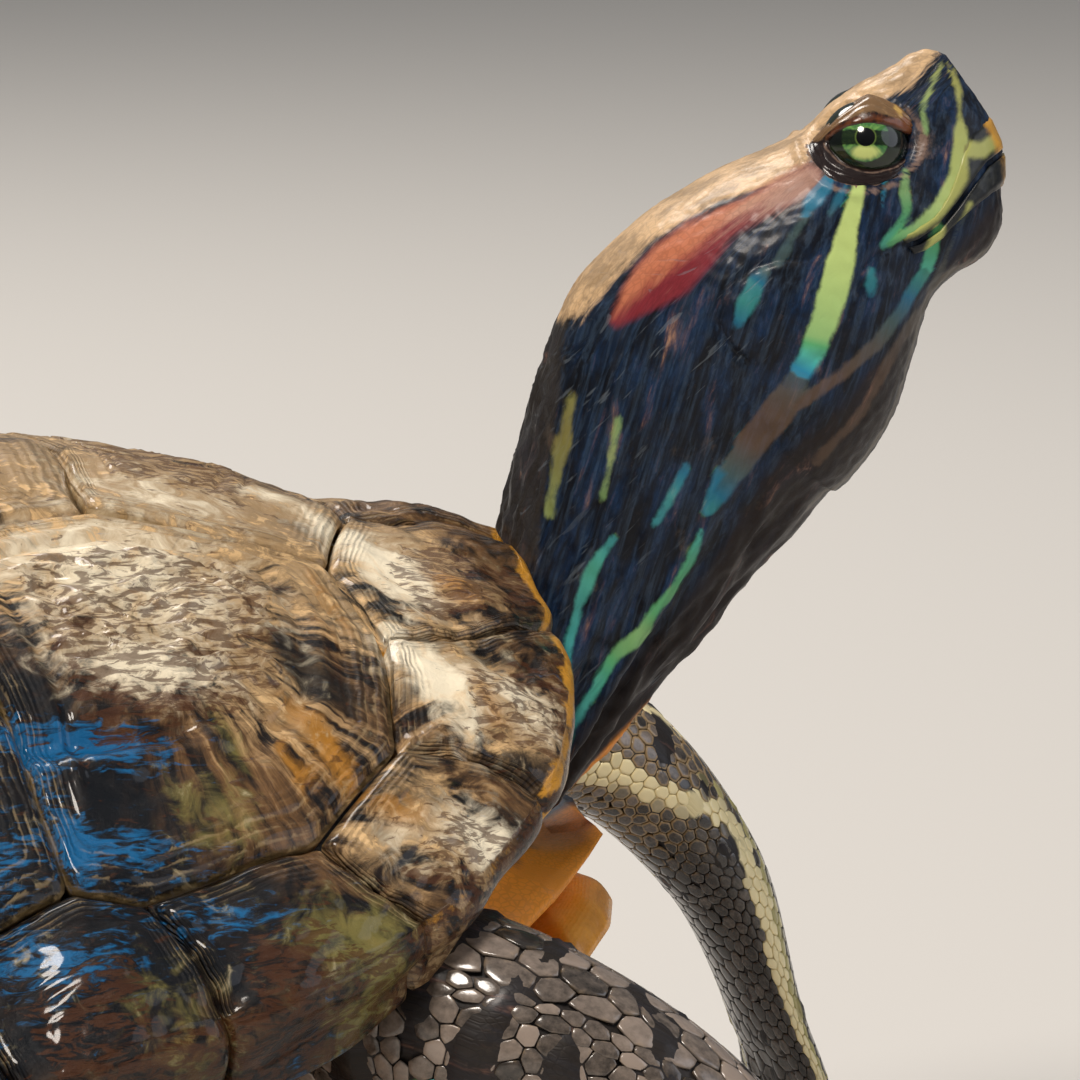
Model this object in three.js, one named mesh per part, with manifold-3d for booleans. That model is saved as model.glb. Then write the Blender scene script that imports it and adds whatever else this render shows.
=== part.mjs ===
// Red-eared slider turtle (Trachemys scripta elegans), adult, as a still life-size model.
// Millimetres, +Z up, head toward +X, the turtle's left toward +Y, floor at z = 0.
// The turtle props its shell up on its forelegs, with the back of the plastron on the floor.
import * as THREE from 'three';
import { mergeVertices } from 'three/addons/utils/BufferGeometryUtils.js';
import Module from 'manifold-3d';

const wasm = await Module();
wasm.setup();

// Driving dimensions
const SHELL_HALF_LENGTH = 100;
const SHELL_HALF_WIDTH = 76.6;
const SHELL_REAR_FLARE = 3;
const SHELL_TOP = 78;
const RIM_ROUNDNESS = 2.65;
const DOME_FULLNESS = 1.35;
const NUCHAL_SWELL = 3.6;
const NUCHAL_REACH = 2;
const SHELL_PITCH = THREE.MathUtils.degToRad(14.57);
const SHELL_LIFT = 20.6;
const SCUTE_THICKNESS = 2.2;
const PLASTRON_THICKNESS = 3;
const GULAR_THICKNESS = 5.5;
const SEAM = 0.4;
const CLEARANCE = 0.45;
const SHARPEST_MITRE = 0.35;
const PLATE_SPACING = 12.6;
const TRUNK_STEPS = 40;
const HEAD_PITCH = THREE.MathUtils.degToRad(37);
const HEAD_YAW = THREE.MathUtils.degToRad(-22);
const NECK_YAW = THREE.MathUtils.degToRad(-7);
const OCCIPUT = { along: 24, height: 114.6 };
const NECK_ROOT = { x: 80, y: 0 };
const EYE_RADIUS = 4.7;
const EYE_CENTRE = { u: 26.9, w: 0.8, side: 5.5 };
const EYE_SOCKET_GAP = 0.35;
const SECTION_SIDES = 18;
const LIMB_SIDES = 10;
const LEG_STEPS = 12;
const TAIL_STEPS = 8;
const TOE_SPREAD = 0.86;
const TOE_FAN = 0.35;
const FOOT_BOW = 0.3;
const CLAW_RADIUS = 1.35;
const CLAW_SIDES = 6;

const MATERIALS = {
  carapace: new THREE.MeshStandardMaterial({ color: '#4b3d2a', roughness: 0.25, metalness: 0 }),
  plastron: new THREE.MeshStandardMaterial({ color: '#d9a441', roughness: 0.3, metalness: 0 }),
  skin: new THREE.MeshStandardMaterial({ color: '#1b2430', roughness: 0.4, metalness: 0 }),
  eye: new THREE.MeshStandardMaterial({ color: '#5f8a2c', roughness: 0.05, metalness: 0 }),
};

const model = new THREE.Group();
const shell = new THREE.Group();
shell.rotation.y = -SHELL_PITCH;
shell.position.z = SHELL_LIFT;
model.add(shell);
model.updateMatrixWorld(true);

// A bell curve of height 1 at its centre
const bell = (x, centre, width) => Math.exp(-(((x - centre) / width) ** 2));
const mix = (a, b, t) => a + (b - a) * t;

// ---- Solids ------------------------------------------------------------------------------

function signedVolume(points, triangles) {
  let volume = 0;
  for (const [a, b, c] of triangles) {
    volume += points[a].dot(new THREE.Vector3().crossVectors(points[b], points[c])) / 6;
  }
  return volume;
}

// A closed geometry with its faces outward, from points and triangles wound one way
function solid(points, triangles) {
  const inward = signedVolume(points, triangles) < 0;
  const faces = inward ? triangles.map(([a, b, c]) => [a, c, b]) : triangles;
  const geometry = new THREE.BufferGeometry();
  const numbers = points.flatMap((p) => p.toArray());
  geometry.setAttribute('position', new THREE.Float32BufferAttribute(numbers, 3));
  geometry.setIndex(faces.flat());
  geometry.computeVertexNormals();
  return geometry;
}

// Rings of equal count joined one to the next, closed by a fan to a point at each end
function loft(rings, first, last) {
  const count = rings[0].length;
  const points = [...rings.flat(), first, last];
  const triangles = [];
  for (let i = 0; i < rings.length - 1; i += 1) {
    for (let j = 0; j < count; j += 1) {
      const a = i * count + j;
      const b = i * count + ((j + 1) % count);
      triangles.push([a, b, b + count], [a, b + count, a + count]);
    }
  }
  const lastRing = (rings.length - 1) * count;
  for (let j = 0; j < count; j += 1) {
    const next = (j + 1) % count;
    triangles.push([next, j, points.length - 2]);
    triangles.push([lastRing + j, lastRing + next, points.length - 1]);
  }
  return solid(points, triangles);
}

function centroid(ring) {
  const sum = new THREE.Vector3();
  for (const point of ring) sum.add(point);
  return sum.divideScalar(ring.length);
}
const capped = (rings) => loft(rings, centroid(rings[0]), centroid(rings.at(-1)));

// The geometry with every face moved out by at least the distance, corners mitred
function grown(geometry, distance) {
  const result = geometry.clone();
  result.computeVertexNormals();
  const { position, normal } = result.attributes;
  const corner = (i) => new THREE.Vector3().fromBufferAttribute(geometry.attributes.position, i);
  const leastDot = new Float32Array(position.count).fill(1);
  for (let f = 0; f < result.index.count; f += 3) {
    const [a, b, c] = [0, 1, 2].map((k) => result.index.getX(f + k));
    const face = new THREE.Triangle(corner(a), corner(b), corner(c)).getNormal(new THREE.Vector3());
    for (const i of [a, b, c]) {
      const dot = face.dot(new THREE.Vector3().fromBufferAttribute(normal, i));
      leastDot[i] = Math.min(leastDot[i], Math.max(dot, SHARPEST_MITRE));
    }
  }
  for (let i = 0; i < position.count; i += 1) {
    const out = new THREE.Vector3().fromBufferAttribute(normal, i);
    const moved = corner(i).addScaledVector(out, distance / leastDot[i]);
    position.setXYZ(i, moved.x, moved.y, moved.z);
  }
  return result;
}

function toManifold(geometry) {
  const bare = geometry.clone();
  bare.deleteAttribute('normal');
  bare.deleteAttribute('uv');
  const merged = mergeVertices(bare, 1e-4);
  return new wasm.Manifold(new wasm.Mesh({
    numProp: 3,
    vertProperties: merged.attributes.position.array,
    triVerts: new Uint32Array(merged.index.array),
  }));
}

// The largest single body of a manifold, as a geometry
function fromManifold(manifold) {
  const bodies = manifold.decompose().sort((a, b) => b.volume() - a.volume());
  const mesh = bodies[0].getMesh();
  const geometry = new THREE.BufferGeometry();
  geometry.setAttribute('position', new THREE.Float32BufferAttribute(mesh.vertProperties, 3));
  geometry.setIndex(Array.from(mesh.triVerts));
  geometry.computeVertexNormals();
  return geometry;
}

function addMesh(parent, name, geometry, material) {
  const mesh = new THREE.Mesh(geometry, material);
  mesh.name = name;
  parent.add(mesh);
  return mesh;
}

const SIDES = [['r', -1], ['l', 1]];

// ---- Carapace surface --------------------------------------------------------------------

// The rim seen from above is a superellipse, a little wider behind; angles run from the front
function rimRadius(angle) {
  const across = SHELL_HALF_WIDTH - SHELL_REAR_FLARE * Math.cos(angle);
  const sum = Math.abs(Math.cos(angle) / SHELL_HALF_LENGTH) ** RIM_ROUNDNESS
    + Math.abs(Math.sin(angle) / across) ** RIM_ROUNDNESS;
  return sum ** (-1 / RIM_ROUNDNESS) + NUCHAL_REACH * bell(THREE.MathUtils.radToDeg(angle), 0, 10);
}

// The rim rises over the neck and a little over the bridge, and flares up behind
function rimHeight(angle) {
  const degrees = THREE.MathUtils.radToDeg(Math.abs(angle));
  return 24.5 + 17 * bell(degrees, 0, 37) + 5.6 * bell(degrees, 70, 19) + 2.3 * bell(degrees, 180, 25);
}

// Over the neck the rim's plates swell up and stand a little proud of the dome
function nuchalSwell(angle, fraction) {
  const degrees = THREE.MathUtils.radToDeg(angle);
  return NUCHAL_SWELL * bell(degrees, 0, 10) * THREE.MathUtils.smoothstep(fraction, 0.84, 0.95);
}

function carapaceHeight(x, y) {
  const angle = Math.atan2(y, x);
  const fraction = Math.min(Math.hypot(x, y) / rimRadius(angle), 1);
  const rim = rimHeight(angle);
  const dome = (SHELL_TOP - rim) * Math.cos((Math.PI / 2) * fraction ** DOME_FULLNESS);
  return rim + dome + nuchalSwell(angle, fraction);
}

// A surface given by its height over the plan, with its unit normal up or down
function heightSurface(height, up) {
  const step = 0.5;
  return (x, y) => {
    const slopeX = (height(x + step, y) - height(x - step, y)) / (2 * step);
    const slopeY = (height(x, y + step) - height(x, y - step)) / (2 * step);
    const normal = new THREE.Vector3(-slopeX, -slopeY, 1).normalize().multiplyScalar(up);
    return { point: new THREE.Vector3(x, y, height(x, y)), normal };
  };
}
const carapaceSurface = heightSurface(carapaceHeight, 1);

// ---- Scute plates ------------------------------------------------------------------------

// Points along a closed outline, no further apart than the spacing
function subdivided(outline, spacing) {
  return outline.flatMap(([x, y], i) => {
    const [nextX, nextY] = outline[(i + 1) % outline.length];
    const count = Math.max(1, Math.round(Math.hypot(nextX - x, nextY - y) / spacing));
    const step = (_, k) => [mix(x, nextX, k / count), mix(y, nextY, k / count)];
    return Array.from({ length: count }, step);
  });
}

// A plate that follows a surface inside an outline, with a hairline seam left round it
function plate(outline, surface, thickness) {
  const edge = subdivided(outline, PLATE_SPACING);
  const cx = edge.reduce((sum, p) => sum + p[0], 0) / edge.length;
  const cy = edge.reduce((sum, p) => sum + p[1], 0) / edge.length;
  const at = (share, depth) => edge.map(([x, y]) => {
    const reach = Math.hypot(x - cx, y - cy);
    const scale = share * (1 - SEAM / 2 / reach);
    const { point, normal } = surface(cx + (x - cx) * scale, cy + (y - cy) * scale);
    return point.addScaledVector(normal, -depth);
  });
  const centre = surface(cx, cy);
  const bottom = centre.point.clone().addScaledVector(centre.normal, -thickness);
  return loft([at(0.5, 0), at(1, 0), at(1, thickness), at(0.5, thickness)], centre.point, bottom);
}

const mirrored = (outline) => outline.map(([x, y]) => [x, -y]);

// The seam between costals and marginals, from the midline in front to the midline behind,
// and where the seams between marginals meet the rim. Left side, x forward, y left.
const MARGINAL_SEAM = [
  [86, 4.4], [77.8, 34.9], [72, 49], [59.3, 58.6], [40.3, 63.8], [20.5, 66.3], [0.5, 67.4],
  [-19, 66.8], [-38.5, 64], [-57.5, 57.3], [-73, 45.5], [-82.5, 27], [-85.5, 0.2],
];
const MARGINAL_RIM_ANGLES = [2.4, 12.4, 30.7, 43.6, 59, 73.8, 88.5, 103.5, 118, 132, 146, 161, 179.8];
// The front end of the first costal and vertebral, which both meet the first marginal
const VERTEBRAL_CORNER = [77.2, 23.7];
// Where the last costal and vertebral both meet the eleventh marginal, and the bend before it
const REAR_CORNER = [-77.7, 36.3];
const COSTAL_REAR = [-73.5, 29];
// Where the seams between costals end, each in the side of the marginal it meets
const COSTAL_ENDS = [[34, 62.9], [-8.5, 66.2], [-47.5, 59.8]];
const MARGINAL_CORNERS = {
  0: VERTEBRAL_CORNER, 4: COSTAL_ENDS[0], 6: COSTAL_ENDS[1], 8: COSTAL_ENDS[2], 10: REAR_CORNER,
};

const CENTRE_SEAMS = [86, 58.8, 11, -33, -66, -85.3];
const VERTEBRAL_SIDES = [
  // front corner, side apex, rear corner
  [VERTEBRAL_CORNER, [66, 22.6], [55.4, 21.5]],
  [[55.4, 21.5], [36, 27.5], [9, 22]],
  [[9, 22], [-10, 27.5], [-35, 21]],
  [[-35, 21], [-50, 25], [-67, 13.5]],
];

function vertebralOutlines() {
  const [first, second, third, fourth] = VERTEBRAL_SIDES;
  const halves = [
    [[CENTRE_SEAMS[0], 0], MARGINAL_SEAM[0], ...first, [CENTRE_SEAMS[1], 0]],
    [[CENTRE_SEAMS[1], 0], ...second, [CENTRE_SEAMS[2], 0]],
    [[CENTRE_SEAMS[2], 0], ...third, [CENTRE_SEAMS[3], 0]],
    [[CENTRE_SEAMS[3], 0], ...fourth, [CENTRE_SEAMS[4], 0]],
    [[CENTRE_SEAMS[4], 0], fourth[2], COSTAL_REAR, REAR_CORNER, MARGINAL_SEAM[11], [CENTRE_SEAMS[5], 0]],
  ];
  return halves.map((half) => [...half, ...mirrored(half.slice(1, -1)).reverse()]);
}

function costalOutlines() {
  const [first, second, third, fourth] = VERTEBRAL_SIDES;
  const seam = MARGINAL_SEAM;
  const [endA, endB, endC] = COSTAL_ENDS;
  const [bendA, bendB, bendC] = [[35.5, 50], [-10.5, 50], [-49, 46]];
  return [
    [first[0], seam[1], seam[2], seam[3], seam[4], endA, bendA, second[1], second[0], first[1]],
    [second[1], bendA, endA, seam[5], seam[6], endB, bendB, third[1], third[0]],
    [third[1], bendB, endB, seam[7], seam[8], endC, bendC, fourth[1], fourth[0]],
    [fourth[1], bendC, endC, seam[9], seam[10], REAR_CORNER, COSTAL_REAR, fourth[2]],
  ];
}

vertebralOutlines().forEach((outline, i) => {
  const geometry = plate(outline, carapaceSurface, SCUTE_THICKNESS);
  addMesh(shell, `vertebral_${i + 1}`, geometry, MATERIALS.carapace);
});
for (const [tag, side] of SIDES) {
  costalOutlines().forEach((outline, i) => {
    const placed = side > 0 ? outline : mirrored(outline);
    const geometry = plate(placed, carapaceSurface, SCUTE_THICKNESS);
    addMesh(shell, `costal_${tag}_${i + 1}`, geometry, MATERIALS.carapace);
  });
}

// ---- Marginals ---------------------------------------------------------------------------

// How far the rim's underside drops: shallow in front and behind, deep along the bridge
const rimDepth = (degrees) => 4.2 + 10.5 * bell(degrees, 90, 34);

// A wedge section of the shell's rim between a seam point and a rim point
function rimSection([seamX, seamY], angle) {
  const rim = rimRadius(angle);
  const rimX = rim * Math.cos(angle);
  const rimY = rim * Math.sin(angle);
  const width = Math.hypot(rimX - seamX, rimY - seamY);
  const at = (share) => [mix(seamX, rimX, share), mix(seamY, rimY, share)];
  const onTop = (share) => carapaceSurface(...at(share)).point;
  const degrees = THREE.MathUtils.radToDeg(Math.abs(angle));
  const edgeHeight = rimHeight(angle) + nuchalSwell(angle, 1);
  const below = (share, drop) => new THREE.Vector3(...at(share), edgeHeight - drop);
  const inner = carapaceSurface(...at(SEAM / 2 / width));
  const innerDepth = inner.point.clone().addScaledVector(inner.normal, -SCUTE_THICKNESS - 0.6);
  const depth = rimDepth(degrees);
  return [
    inner.point, onTop(0.5), onTop(0.97), below(0.985, 2), below(0.7, mix(2, depth, 0.6)),
    below(0.42, depth), innerDepth,
  ];
}

function marginalGeometry(i, side) {
  const steps = 4;
  const margin = 0.02;
  const [from, to] = [MARGINAL_SEAM[i], MARGINAL_SEAM[i + 1]];
  const corner = MARGINAL_CORNERS[i] ?? [mix(from[0], to[0], 0.5), mix(from[1], to[1], 0.5)];
  const sections = [];
  for (let k = 0; k <= steps; k += 1) {
    const t = mix(margin, 1 - margin, k / steps);
    const [a, b] = t < 0.5 ? [from, corner] : [corner, to];
    const half = t < 0.5 ? 2 * t : 2 * t - 1;
    const seam = [mix(a[0], b[0], half), mix(a[1], b[1], half)];
    const angle = THREE.MathUtils.degToRad(mix(MARGINAL_RIM_ANGLES[i], MARGINAL_RIM_ANGLES[i + 1], t));
    sections.push(rimSection(seam, angle).map((p) => new THREE.Vector3(p.x, side * p.y, p.z)));
  }
  return capped(sections);
}

for (const [tag, side] of SIDES) {
  for (let i = 0; i < 12; i += 1) {
    addMesh(shell, `marginal_${tag}_${i + 1}`, marginalGeometry(i, side), MATERIALS.carapace);
  }
}

const cervicalSections = [-1, 0, 1].map((share) => {
  const angle = THREE.MathUtils.degToRad(2.1 * share);
  return rimSection([86, 4.0 * share], angle);
});
addMesh(shell, 'cervical', capped(cervicalSections), MATERIALS.carapace);

// ---- Plastron ----------------------------------------------------------------------------

// Flat below, turned up a little in front and steeply at the bridges to the carapace
function plastronHeight(x, y) {
  const front = 6.2 * (Math.max(x - 55, 0) / 45) ** 2;
  const bridge = bell(x, 0, 55) * 11 * (Math.max(Math.abs(y) - 44, 0) / 25.5) ** 1.5;
  return front + bridge;
}
const plastronSurface = heightSurface(plastronHeight, -1);

const PLASTRON_OUTLINES = {
  gular: [[74, 0.2], [99.5, 0.2], [101, 12], [93.5, 23]],
  humeral: [[60, 0.2], [74, 0.2], [93.5, 23], [84, 33], [71, 40.5], [62, 44]],
  pectoral: [[25, 0.2], [60, 0.2], [62, 44], [50, 48], [42, 55], [35, 66.5], [16, 69]],
  abdominal: [[-24, 0.2], [25, 0.2], [16, 69], [-10, 69.5], [-32, 66.5], [-40, 52]],
  femoral: [[-47, 0.2], [-24, 0.2], [-40, 52], [-50, 48.5], [-61, 46], [-72, 39.5]],
  anal: [[-83.5, 0.2], [-47, 0.2], [-72, 39.5], [-82, 29.5], [-88.5, 17], [-89.5, 8]],
};

// The floor in the shell's own frame, for the small flat that the back of the plastron rests on
const floorNormal = new THREE.Vector3(Math.sin(SHELL_PITCH), 0, Math.cos(SHELL_PITCH));
const floorOffset = -SHELL_LIFT;

for (const [name, outline] of Object.entries(PLASTRON_OUTLINES)) {
  for (const [tag, side] of SIDES) {
    const placed = side > 0 ? outline : mirrored(outline);
    const thickness = name === 'gular' ? GULAR_THICKNESS : PLASTRON_THICKNESS;
    const whole = toManifold(plate(placed, plastronSurface, thickness));
    const rested = whole.trimByPlane(floorNormal.toArray(), floorOffset);
    addMesh(shell, `${name}_${tag}`, fromManifold(rested), MATERIALS.plastron);
  }
}

// ---- Trunk -------------------------------------------------------------------------------

// Radius from the centre at which a closed polyline is met, looking along an angle
function polylineRadius(line, angle) {
  for (let i = 0; i < line.length - 1; i += 1) {
    const [a, b] = [line[i], line[i + 1]];
    const [angleA, angleB] = [Math.atan2(a[1], a[0]), Math.atan2(b[1], b[0])];
    if (angle >= Math.min(angleA, angleB) - 1e-9 && angle <= Math.max(angleA, angleB) + 1e-9) {
      const cross = a[0] * b[1] - a[1] * b[0];
      return cross / ((b[1] - a[1]) * Math.cos(angle) - (b[0] - a[0]) * Math.sin(angle));
    }
  }
  return Math.hypot(...line[angle < 1 ? 0 : line.length - 1]);
}

const PLASTRON_EDGE = [
  [99.5, 0], [101, 12], [93.5, 23], [84, 33], [71, 40.5], [50, 48], [42, 55], [35, 66.5], [16, 69],
  [-10, 69.5], [-32, 66.5], [-40, 52], [-61, 46], [-72, 39.5], [-82, 29.5], [-88.5, 17], [-83.5, 0],
];

// The body inside the shell: a dome under the scutes, drawn in at the pockets for legs and
// tail, swollen below the neck by its loose hide, and closed below by a floor on the plastron
function trunkRings() {
  const fractions = [0.3, 0.6, 0.82, 0.94];
  const rings = [...fractions, 'wedge', 'skirt', 'wall', 'edge', 'low'].map(() => []);
  for (let j = 0; j < TRUNK_STEPS; j += 1) {
    const turn = (2 * Math.PI * j) / TRUNK_STEPS;
    const angle = turn > Math.PI ? turn - 2 * Math.PI : turn;
    const side = Math.abs(angle);
    const degrees = THREE.MathUtils.radToDeg(side);
    const seam = polylineRadius(MARGINAL_SEAM, side);
    const rim = rimRadius(angle);
    const edge = polylineRadius(PLASTRON_EDGE, side) - 6.5;
    const at = (radius, z) => new THREE.Vector3(radius * Math.cos(angle), radius * Math.sin(angle), z);
    fractions.forEach((fraction, i) => {
      const radius = seam * fraction;
      const { point, normal } = carapaceSurface(radius * Math.cos(angle), radius * Math.sin(angle));
      rings[i].push(point.addScaledVector(normal, -SCUTE_THICKNESS - 1));
    });
    const [edgeX, edgeY] = [edge * Math.cos(angle), edge * Math.sin(angle)];
    const thickness = edgeX > 66 ? GULAR_THICKNESS : 1.5 * PLASTRON_THICKNESS;
    const floor = plastronHeight(edgeX, edgeY) + thickness;
    const underRim = rimHeight(angle) - rimDepth(degrees);
    const skirt = mix(seam, rim, 0.42) - 2;
    const throat = bell(degrees, 0, 14);
    const pocket = 16 * bell(degrees, 40, 17) + 17 * bell(degrees, 143, 18) - 12.5 * throat
      + 7 * bell(degrees, 180, 12);
    const wall = Math.min(skirt - 1, edge) - pocket;
    const seamTop = carapaceHeight(seam * Math.cos(angle), seam * Math.sin(angle));
    rings[4].push(at(seam - 3.5, mix(seamTop, rimHeight(angle), 0.1) - 5));
    rings[5].push(at(Math.min(skirt, wall + 12) - 7 * throat, underRim + 0.5 + 3.5 * bell(degrees, 90, 34)));
    rings[6].push(at(wall, Math.max(mix(underRim, floor, 0.5 + 0.35 * throat), floor + 2.5)));
    rings[7].push(at(Math.min(edge - 2, wall + 3) + 9.5 * throat, floor + 0.8 + 1.9 * throat));
    rings[8].push(at(edge * 0.5, PLASTRON_THICKNESS + 0.8));
  }
  return rings;
}

function trunkGeometry() {
  const apex = new THREE.Vector3(0, 0, SHELL_TOP - SCUTE_THICKNESS - 1);
  const base = new THREE.Vector3(0, 0, PLASTRON_THICKNESS + 0.8);
  return loft(trunkRings(), apex, base);
}
addMesh(shell, 'trunk', trunkGeometry(), MATERIALS.skin);

// All of the shell and trunk in the floor's frame, grown by the clearance, to cut the limbs with
model.updateMatrixWorld(true);
const shellCutters = shell.children.flatMap((mesh) => [
  toManifold(mesh.geometry.clone().applyMatrix4(mesh.matrixWorld)),
  toManifold(grown(mesh.geometry, CLEARANCE).applyMatrix4(mesh.matrixWorld)),
]);
const shellCutter = wasm.Manifold.union(shellCutters);

const onFloor = (manifold) => manifold.trimByPlane([0, 0, 1], 0);

// ---- Head and neck -----------------------------------------------------------------------

// The neck leaves the shell almost straight and bends to the right on the way up
const yawAt = (along) => mix(NECK_YAW, HEAD_YAW, THREE.MathUtils.smoothstep(along, -5, 36));

function planPosition(along) {
  const step = 0.5;
  const position = new THREE.Vector2(NECK_ROOT.x, NECK_ROOT.y);
  const count = Math.abs(Math.round(along / step));
  const sign = Math.sign(along);
  for (let i = 0; i < count; i += 1) {
    const yaw = yawAt(sign * (i + 0.5) * step);
    position.x += sign * step * Math.cos(yaw);
    position.y += sign * step * Math.sin(yaw);
  }
  return position;
}

// A section through the back point and the throat point, each [along, height], oval across
function bodySection({ back, throat, half, widest, square }) {
  const middle = (back[0] + throat[0]) / 2;
  const centre = planPosition(middle);
  const yaw = yawAt(middle);
  const forward = new THREE.Vector3(Math.cos(yaw), Math.sin(yaw), 0);
  const left = new THREE.Vector3(-Math.sin(yaw), Math.cos(yaw), 0);
  const ring = [];
  for (let j = 0; j < SECTION_SIDES; j += 1) {
    const turn = (2 * Math.PI * (j + 0.5)) / SECTION_SIDES;
    const across = Math.sign(Math.sin(turn)) * Math.abs(Math.sin(turn)) ** (2 / square) * half;
    const lift = Math.sign(Math.cos(turn)) * Math.abs(Math.cos(turn)) ** (2 / square);
    const share = lift > 0 ? mix(widest, 0, lift) : mix(widest, 1, -lift);
    const along = mix(back[0], throat[0], share) - middle;
    const height = mix(back[1], throat[1], share);
    ring.push(new THREE.Vector3(centre.x, centre.y, height).addScaledVector(forward, along)
      .addScaledVector(left, across));
  }
  return ring;
}

// A point of the head's own profile, u along the head and w up, as [along, height]
const headPoint = (u, w) => [
  OCCIPUT.along + u * Math.cos(HEAD_PITCH) - w * Math.sin(HEAD_PITCH),
  OCCIPUT.height + u * Math.sin(HEAD_PITCH) + w * Math.cos(HEAD_PITCH),
];
const headSection = (u, top, bottom, half, widest, square) => ({
  back: headPoint(u, top), throat: headPoint(u, bottom), half, widest, square,
});
const neckSection = (back, throat, half) => ({ back, throat, half, widest: 0.48, square: 2.15 });

const NECK_SECTIONS = [
  neckSection([-22, 62], [-12, 44], 10.5),
  neckSection([-9, 72.5], [4, 53], 11),
  neckSection([1.5, 78.5], [12.5, 61], 11.5),
  neckSection([6.6, 84.5], [18.5, 68], 12),
  neckSection([8, 90.5], [24.5, 74.3], 12.4),
  neckSection([9.9, 97], [29, 79.6], 12.8),
  neckSection([12, 106], [34, 85.4], 13.3),
  neckSection([14.6, 113.6], [38.4, 90.2], 13.8),
  neckSection([18.4, 119.1], [42.4, 94.9], 14.4),
];
const HEAD_SECTIONS = [
  headSection(3.4, 7.5, -27.2, 15, 0.42, 2.2),
  headSection(8.4, 7.3, -26, 15.1, 0.4, 2.3),
  headSection(13.1, 6.8, -23.9, 14.4, 0.4, 2.35),
  headSection(17.8, 5.7, -20.4, 13.2, 0.4, 2.4),
  headSection(22.6, 5, -17, 11.6, 0.36, 2.5),
  headSection(26.2, 5.5, -16.5, 10.2, 0.36, 2.5),
  headSection(30.4, 5.4, -16.7, 7.9, 0.44, 2.3),
  headSection(33.9, 4.9, -14.7, 6.3, 0.46, 2.2),
  headSection(36, 4.9, -11.4, 5, 0.46, 2.1),
  headSection(37.8, 4.1, -8.8, 3.5, 0.42, 2),
  headSection(38.7, 2.7, -4.5, 1.8, 0.4, 2),
];

// Head and neck are one surface, parted at the back of the skull
const bodyRings = [...NECK_SECTIONS, ...HEAD_SECTIONS].map(bodySection);
const headAndNeck = toManifold(capped(bodyRings));

const PARTING_U = 1;
const [partingAlong, partingHeight] = headPoint(PARTING_U, -9);
const partingYaw = yawAt(partingAlong);
const partingNormal = new THREE.Vector3(
  Math.cos(HEAD_PITCH) * Math.cos(partingYaw),
  Math.cos(HEAD_PITCH) * Math.sin(partingYaw),
  Math.sin(HEAD_PITCH),
);
const partingPlan = planPosition(partingAlong);
const partingPoint = new THREE.Vector3(partingPlan.x, partingPlan.y, partingHeight);
const partingOffset = partingNormal.dot(partingPoint);
const neckNormal = partingNormal.clone().negate();

const neck = headAndNeck.trimByPlane(neckNormal.toArray(), SEAM / 2 - partingOffset);
addMesh(model, 'neck', fromManifold(neck.subtract(shellCutter)), MATERIALS.skin);

// A point of the head from u along it, w up and s out to the left
function headPlace(u, w, s) {
  const [along, height] = headPoint(u, w);
  const centre = planPosition(along);
  const yaw = yawAt(along);
  return new THREE.Vector3(centre.x - s * Math.sin(yaw), centre.y + s * Math.cos(yaw), height);
}

function eyeSphere(radius) {
  const sphere = new THREE.SphereGeometry(radius, 10, 6);
  sphere.deleteAttribute('normal');
  sphere.deleteAttribute('uv');
  return mergeVertices(sphere, 1e-4);
}

let head = headAndNeck.trimByPlane(partingNormal.toArray(), SEAM / 2 + partingOffset);
for (const [tag, side] of SIDES) {
  const place = headPlace(EYE_CENTRE.u, EYE_CENTRE.w, side * EYE_CENTRE.side);
  const socket = eyeSphere(EYE_RADIUS + EYE_SOCKET_GAP).translate(place.x, place.y, place.z);
  head = head.subtract(toManifold(socket));
  const eye = addMesh(model, `eye_${tag}`, eyeSphere(EYE_RADIUS), MATERIALS.eye);
  eye.position.copy(place);
}
addMesh(model, 'head', fromManifold(head), MATERIALS.skin);

// ---- Legs and tail -----------------------------------------------------------------------

// The frame of a limb at a share of its length: centre, forward, sideways and upward
function limbFrame(path, share) {
  const centre = path.getPoint(share);
  const forward = path.getTangent(share);
  const sideways = new THREE.Vector3().crossVectors(forward, new THREE.Vector3(0, 0, 1)).normalize();
  const upward = new THREE.Vector3().crossVectors(sideways, forward);
  return { centre, forward, sideways, upward };
}

// A limb through joints [x, y, z, half width, half thickness], smooth between them. A foot's end
// is bowed: its edges are set back by a share of its half width.
function limbRings(joints, steps, bow) {
  const places = joints.map(([x, y, z]) => new THREE.Vector3(x, y, z));
  const widths = joints.map(([, , , width, thickness]) => new THREE.Vector3(width, thickness, 0));
  const path = new THREE.CatmullRomCurve3(places, false, 'centripetal');
  const sizes = new THREE.CatmullRomCurve3(widths, false, 'catmullrom', 0.4);
  const rings = [];
  for (let i = 0; i <= steps; i += 1) {
    const share = i / steps;
    const { centre, forward, sideways, upward } = limbFrame(path, share);
    const size = sizes.getPoint(share);
    const setBack = bow * size.x * THREE.MathUtils.smoothstep(share, 0.8, 1);
    const ring = [];
    for (let j = 0; j < LIMB_SIDES; j += 1) {
      const turn = (2 * Math.PI * (j + 0.5)) / LIMB_SIDES;
      ring.push(centre.clone().addScaledVector(sideways, size.x * Math.cos(turn))
        .addScaledVector(upward, size.y * Math.sin(turn))
        .addScaledVector(forward, -setBack * Math.cos(turn) ** 2));
    }
    rings.push(ring);
  }
  return { rings, path };
}

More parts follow.
